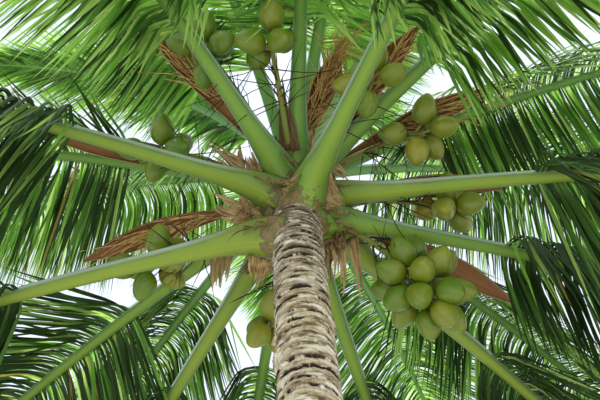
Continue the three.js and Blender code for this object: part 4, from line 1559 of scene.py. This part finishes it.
class PALM_OT_sprays(bpy.types.Operator):
    """Hangs the dry flower sprays beside their spathes"""
    bl_idname = "palm.sprays"
    bl_label = "Dry flower sprays"

    def execute(self, context):
        chance = random.Random(SPRAY_SEED)
        fronds = all_fronds()
        sweep = Sweep()
        for spray in SPRAYS:
            path = spathe_path(SPATHES[spray["number"] - 1], fronds)
            last = len(path) - 2
            for _ in range(spray["twigs"]):
                k = min(int(chance.uniform(spray["first"], spray["last"]) * last), last)
                forward = (path[k + 1] - path[k]).normalized()
                start = path[k] + forward * chance.uniform(0, SPRAY_ALONG)
                start = start + random_direction(chance) * SPRAY_ASIDE
                way = (forward + random_direction(chance) * SPRAY_APART + DOWN * SPRAY_DOWN).normalized()
                length = chance.uniform(*SPRAY_LENGTHS)
                add_twig(sweep, start, way, length, SPRAY_RADII, chance, spray["crook"])
        straw = plain_fibre_material("dry flower spray", linear(0xe8c47c), linear(0xa98248), 25, 0.8)
        settle(sweep.piece("sheath_sprays", straw), "spathe")
        return {"FINISHED"}


# Sheath fibre

FLAP_ROWS = 7
FLAP_POINT = 0.5
FLAP_WALL = 0.003
STRIP_WIDTH = 0.018
FIBRE_SEED = 8
# How a flap tears, in metres: it crumples, and its strips go astray towards their ends.
CRUMPLE = 0.035
CRUMPLE_AT_EDGE = 0.004
ASTRAY = 0.012
# How fast a flap waves and crumples along its edge and down its length, and its crumples along the edge.
WAVE_SCALE_ALONG = 3
CRUMPLE_SCALE = 2
EDGEWISE_SHARE = 0.5
EDGEWISE_SEED = 9
# A strip's half width as a part of its share of the edge, and what its end loses of it.
STRIP_SHARE = 0.62
STRIP_NARROWING = 0.5
# How much longer or shorter strips are than their flap: the mean, waves from strip to strip, and chance.
STRIP_LENGTH = 0.85
STRIP_WAVES = 0.4
STRIP_SPREAD = 0.1
# How far the pattern moves on from strip to strip, so that neighbours differ.
STRIP_SHIFT = 0.37
# The youngest frond with a torn sheath, and where its flaps start and end along its edges, in metres.
LAST_TORN = 22
SHEATH_FOOT_ACROSS = 0.86
SHEATH_FOOT_RISE = 0.02
SHEATH_END = (0.16, 0.24)
SHEATH_END_WIDTH_AT = 0.2
SHEATH_END_ACROSS = 0.75
SHEATH_END_RISE = 0.01
SHEATH_LENGTHS = (0.08, 0.22)
# The flaps are longer on old fronds. They fall down, out from the palm by chance, and off the stalk.
SHEATH_OLD = 1.1
SHEATH_YOUNG = 0.7
SHEATH_DOWN = 0.7
SHEATH_OUT = (0.0, 0.5)
SHEATH_ASIDE = 0.35
SHEATH_DARKNESS = (0.1, 0.8)
# Loose strands on each flap, and how far down it they start.
STRANDS = 4
STRAND_STARTS = (0.2, 0.8)
STRAND_RADII = (0.0016, 0.0016)
STRAND_LENGTHS = (0.06, 0.2)
STRAND_SIDES = 3
# Big torn pieces. First their foot and end: degrees round, metres out and metres above the foot of the
# crown. Then the way their width runs, the width at the foot, the end's width as a part of it, and how
# rotted they are, from 0 to 1.
FLAPS = [
    ((203, 0.26, 0.20), (214, 0.37, 0.50), (1, 0.1, 0), 0.20, 0.6, 0.0),
    ((206, 0.34, 0.25), (207, 0.60, 0.31), (0, -0.5, 0.85), 0.15, 0.7, 0.3),
    ((171, 0.28, 0.03), (181, 0.53, 0.11), (0, -0.6, 0.8), 0.12, 1.5, 0.25),
    ((150, 0.53, 0.06), (147, 0.54, -0.44), (1, 0.1, 0), 0.17, 0.5, 0.0),
    ((35, 0.30, -0.03), (40, 0.32, -0.50), (1, 0.3, 0), 0.11, 0.5, 0.1),
    ((25, 0.37, -0.03), (30, 0.41, -0.58), (1, -0.3, 0), 0.07, 0.5, 0.2),
    ((316, 0.28, 0.31), (343, 0.37, 0.24), (0, -0.5, 0.85), 0.14, 0.9, 0.15),
    ((337, 0.23, 0.125), (344, 0.47, 0.13), (0, -0.5, 0.85), 0.035, 0.9, 0.0),
    ((337, 0.23, 0.085), (344, 0.47, 0.085), (0, -0.5, 0.85), 0.03, 0.9, 0.0),
    ((130, 0.30, -0.08), (136, 0.47, -0.22), (0.2, 0.5, -0.85), 0.16, 0.5, 0.8),
    ((225, 0.20, 0.20), (243, 0.30, 0.44), (1, 0, 0), 0.12, 0.8, 0.9),
    ((285, 0.22, 0.36), (288, 0.36, 0.62), (1, 0.3, 0), 0.14, 0.6, 0.2),
    ((236, 0.28, 0.28), (237, 0.66, 0.44), (1, -0.3, 0), 0.15, 0.5, 0.7),
    ((264, 0.26, 0.32), (264, 0.66, 0.50), (1, 0, 0), 0.13, 0.5, 0.8),
    ((62, 0.30, 0.02), (66, 0.38, -0.36), (0.9, -0.4, 0), 0.15, 0.5, 0.1),
    ((92, 0.28, 0.10), (88, 0.50, 0.16), (-0.8, 0, 0.6), 0.16, 1.2, 0.3),
]


def add_flap(sweep, start, end, fall, length, point, dark, chance):
    """Torn sheath fibre: strips side by side that run from an edge and part into rags."""
    seed = chance.uniform(0, SEED_RANGE)
    edge = end - start
    count = max(2, round(edge.length / STRIP_WIDTH))
    over = edge.cross(fall).normalized()
    for strip in range(count):
        beside = (strip + 0.5) / count
        ragged = STRIP_LENGTH + STRIP_WAVES * noise.noise((beside * WAVE_SCALE_ALONG, seed, 0.5))
        ragged = ragged + chance.uniform(-STRIP_SPREAD, STRIP_SPREAD)
        astray = random_direction(chance) * ASTRAY + over * chance.uniform(-ASTRAY, ASTRAY)
        before = None
        for row in range(FLAP_ROWS + 1):
            part = row / FLAP_ROWS
            narrow = mix(1.0, point, part)
            crumple = over * noise.noise((beside * CRUMPLE_SCALE, part * CRUMPLE_SCALE, seed))
            edgewise = noise.noise((beside, part * CRUMPLE_SCALE, seed + EDGEWISE_SEED))
            crumple = crumple + edge.normalized() * (EDGEWISE_SHARE * edgewise)
            middle = start.lerp(end, 0.5 + (beside - 0.5) * narrow) + fall * (length * ragged * part)
            middle = middle + crumple * (CRUMPLE * part + CRUMPLE_AT_EDGE) + astray * part * part
            half = edge * (STRIP_SHARE / count * narrow * (1 - STRIP_NARROWING * part ** 4))
            ring = sweep.ring(
                [middle - half, middle + half], across=beside + strip * STRIP_SHIFT, along=part, dark=dark)
            if before is not None:
                sweep.bridge(before, ring, closed=False)
            before = ring


def add_sheath(flaps, strands, frond, handed, chance):
    """The torn sheath along one edge of a frond's base, with its loose strands."""
    point, _, side, up = frond.place(0.0)
    far_point, _, far_side, _ = frond.place(chance.uniform(*SHEATH_END))
    start = point + side * (handed * frond.half_width(0.0) * SHEATH_FOOT_ACROSS) + up * SHEATH_FOOT_RISE
    end_across = handed * frond.half_width(SHEATH_END_WIDTH_AT) * SHEATH_END_ACROSS
    end = far_point + far_side * end_across + up * SHEATH_END_RISE
    fall = DOWN * SHEATH_DOWN + outward(frond.round) * chance.uniform(*SHEATH_OUT)
    fall = fall + side * (handed * SHEATH_ASIDE)
    length = chance.uniform(*SHEATH_LENGTHS) * mix(SHEATH_OLD, SHEATH_YOUNG, frond.youth)
    dark = chance.uniform(*SHEATH_DARKNESS)
    add_flap(flaps, start, end, fall.normalized(), length, FLAP_POINT, dark, chance)
    for _ in range(STRANDS):
        root = start.lerp(end, chance.random()) + fall * (length * chance.uniform(*STRAND_STARTS))
        reach = chance.uniform(*STRAND_LENGTHS)
        add_twig(strands, root, fall.normalized(), reach, STRAND_RADII, chance, sides=STRAND_SIDES)


def fibre_material():
    """Sheath fibre: dull straw-coloured strands side by side, drawn 1 mm apart, darker where it rots."""
    sizes = settings("spathe")
    material, tree = new_material("torn sheath fibre")
    across = node(tree, "ShaderNodeAttribute", attribute_name="across").outputs["Fac"]
    along = node(tree, "ShaderNodeAttribute", attribute_name="along").outputs["Fac"]
    dark = node(tree, "ShaderNodeAttribute", attribute_name="dark").outputs["Fac"]
    lines = node(tree, "ShaderNodeCombineXYZ", {"X": across, "Y": along}).outputs[0]
    strands = stretched_noise(tree, lines, (26, 2, 1), 4.0)
    colour = painted(
        tree, tuple(sizes.fibre_dark),
        (strands, [(0.34, 0.0), (0.58, 1.0)], tuple(sizes.fibre)),
        (dark, None, linear(0x3c2817)))
    looks = {"Base Color": colour, "Roughness": 0.85, "IOR": PLANT_IOR, "Specular IOR Level": 0.25}
    finish_material(tree, looks, strands, strength=1.0, distance=0.004)
    return material


class PALM_OT_fibre(bpy.types.Operator):
    """Hangs torn sheath fibre round the bases of the fronds"""
    bl_idname = "palm.fibre"
    bl_label = "Sheath fibre"

    def execute(self, context):
        crown_height = settings("trunk").crown_height
        chance = random.Random(FIBRE_SEED)
        flaps = Sweep("across", "along", "dark")
        strands = Sweep()
        for frond in all_fronds().values():
            if frond.index > LAST_TORN:
                continue
            for handed in (1, -1):
                add_sheath(flaps, strands, frond, handed, chance)
        for foot, end, across, width, point, dark in FLAPS:
            foot, end = [
                from_axis(degrees, reach, crown_height + height) for degrees, reach, height in (foot, end)]
            half = Vector(across).normalized() * (width / 2)
            fall = end - foot
            add_flap(flaps, foot - half, foot + half, fall.normalized(), fall.length, point, dark, chance)
        piece = flaps.piece("sheath_fibre", fibre_material())
        thicken(piece, FLAP_WALL)
        settle(piece, "spathe")
        strand = plain_fibre_material("loose sheath strand", linear(0x8a6a42), linear(0x4a3520), 30, 0.85)
        settle(strands.piece("sheath_strands", strand), "spathe")
        return {"FINISHED"}


# Stage

SUN_TURN = (34, -24, 0)
SUN_SOFTNESS = 12


class PALM_OT_stage(bpy.types.Operator):
    """Lays the floor, sets the soft light and places the camera at the photograph's viewpoint"""
    bl_idname = "palm.stage"
    bl_label = "Stage"

    def execute(self, context):
        self.floor()
        self.light()
        self.camera()
        return {"FINISHED"}

    def floor(self):
        sizes = settings("stage")
        deselect_all()
        bpy.ops.mesh.primitive_plane_add(size=sizes.floor_size)
        floor = bpy.context.active_object
        floor.name = "floor"
        material, tree = new_material("matt pale floor")
        finish_material(tree, {"Base Color": tuple(sizes.floor_colour), "Roughness": 0.9})
        floor.data.materials.append(material)
        floor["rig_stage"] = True

    def light(self):
        sizes = settings("stage")
        world = bpy.data.worlds.new("pale surroundings")
        world.use_nodes = True
        tree = world.node_tree
        tree.nodes.clear()
        shine = node(
            tree, "ShaderNodeBackground",
            {"Color": tuple(sizes.sky_colour), "Strength": sizes.sky_strength})
        node(tree, "ShaderNodeOutputWorld", {"Surface": shine.outputs[0]})
        bpy.context.scene.world = world
        # Plain display colours, so that the greens keep their strength.
        bpy.context.scene.view_settings.view_transform = "Standard"
        bpy.ops.object.light_add(type="SUN", rotation=[math.radians(turn) for turn in SUN_TURN])
        sun = bpy.context.active_object
        sun.data.energy = sizes.sun_strength
        sun.data.angle = math.radians(SUN_SOFTNESS)

    def camera(self):
        sizes = settings("stage")
        rise = math.radians(sizes.rise)
        forward = Vector((0, math.cos(rise), math.sin(rise)))
        above = Vector((0, -math.sin(rise), math.cos(rise)))
        right = Vector((1, 0, 0))
        aside = (CROWN_PIXEL[0] - FRAME_PIXELS[0] / 2) / FOCAL_PIXELS
        higher = (FRAME_PIXELS[1] / 2 - CROWN_PIXEL[1]) / FOCAL_PIXELS
        crown = from_axis(0, 0, settings("trunk").crown_height)
        place = crown - (forward + right * aside + above * higher) * sizes.distance
        bpy.ops.object.camera_add(location=place, rotation=(math.pi / 2 + rise, 0, 0))
        camera = bpy.context.active_object
        camera.data.sensor_width = SENSOR_MM
        camera.data.lens = SENSOR_MM * FOCAL_PIXELS / FRAME_PIXELS[0]
        bpy.context.scene.camera = camera
        deselect_all()


class PALM_PT_panel(bpy.types.Panel):
    """The palm's pieces and their settings in the 3D view's sidebar"""
    bl_label = "Coconut palm"
    bl_space_type = "VIEW_3D"
    bl_region_type = "UI"
    bl_category = "Palm"

    def draw(self, context):
        for kind, operators in PIECES.items():
            box = self.layout.box()
            for operator in operators:
                box.operator(operator.bl_idname)
            group = settings(kind)
            for name in group.bl_rna.properties.keys():
                if name not in {"rna_type", "name"}:
                    box.prop(group, name)


PIECES = {
    "trunk": [PALM_OT_trunk],
    "frond": [PALM_OT_ribs, PALM_OT_leaflets],
    "bunch": [PALM_OT_bunches],
    "spathe": [PALM_OT_spathes, PALM_OT_sprays, PALM_OT_fibre],
    "stage": [PALM_OT_stage],
}
GROUPS = {
    "trunk": TrunkSettings, "frond": FrondSettings, "bunch": BunchSettings, "spathe": SpatheSettings,
    "stage": StageSettings,
}


def register():
    """Adds the settings, operators and panel to Blender."""
    for kind, group in GROUPS.items():
        bpy.utils.register_class(group)
        setattr(bpy.types.Scene, "palm_" + kind, PointerProperty(type=group))
    for operators in PIECES.values():
        for operator in operators:
            bpy.utils.register_class(operator)
    bpy.utils.register_class(PALM_PT_panel)


def unregister():
    """Takes them out again."""
    bpy.utils.unregister_class(PALM_PT_panel)
    for operators in PIECES.values():
        for operator in operators:
            bpy.utils.unregister_class(operator)
    for kind, group in GROUPS.items():
        delattr(bpy.types.Scene, "palm_" + kind)
        bpy.utils.unregister_class(group)


def main():
    """Builds every piece."""
    register()
    bpy.ops.palm.stage()
    bpy.ops.palm.trunk()
    bpy.ops.palm.ribs()
    bpy.ops.palm.bunches()
    bpy.ops.palm.spathes()
    bpy.ops.palm.sprays()
    bpy.ops.palm.fibre()
    bpy.ops.palm.leaflets()


if __name__ == "__main__":
    main()
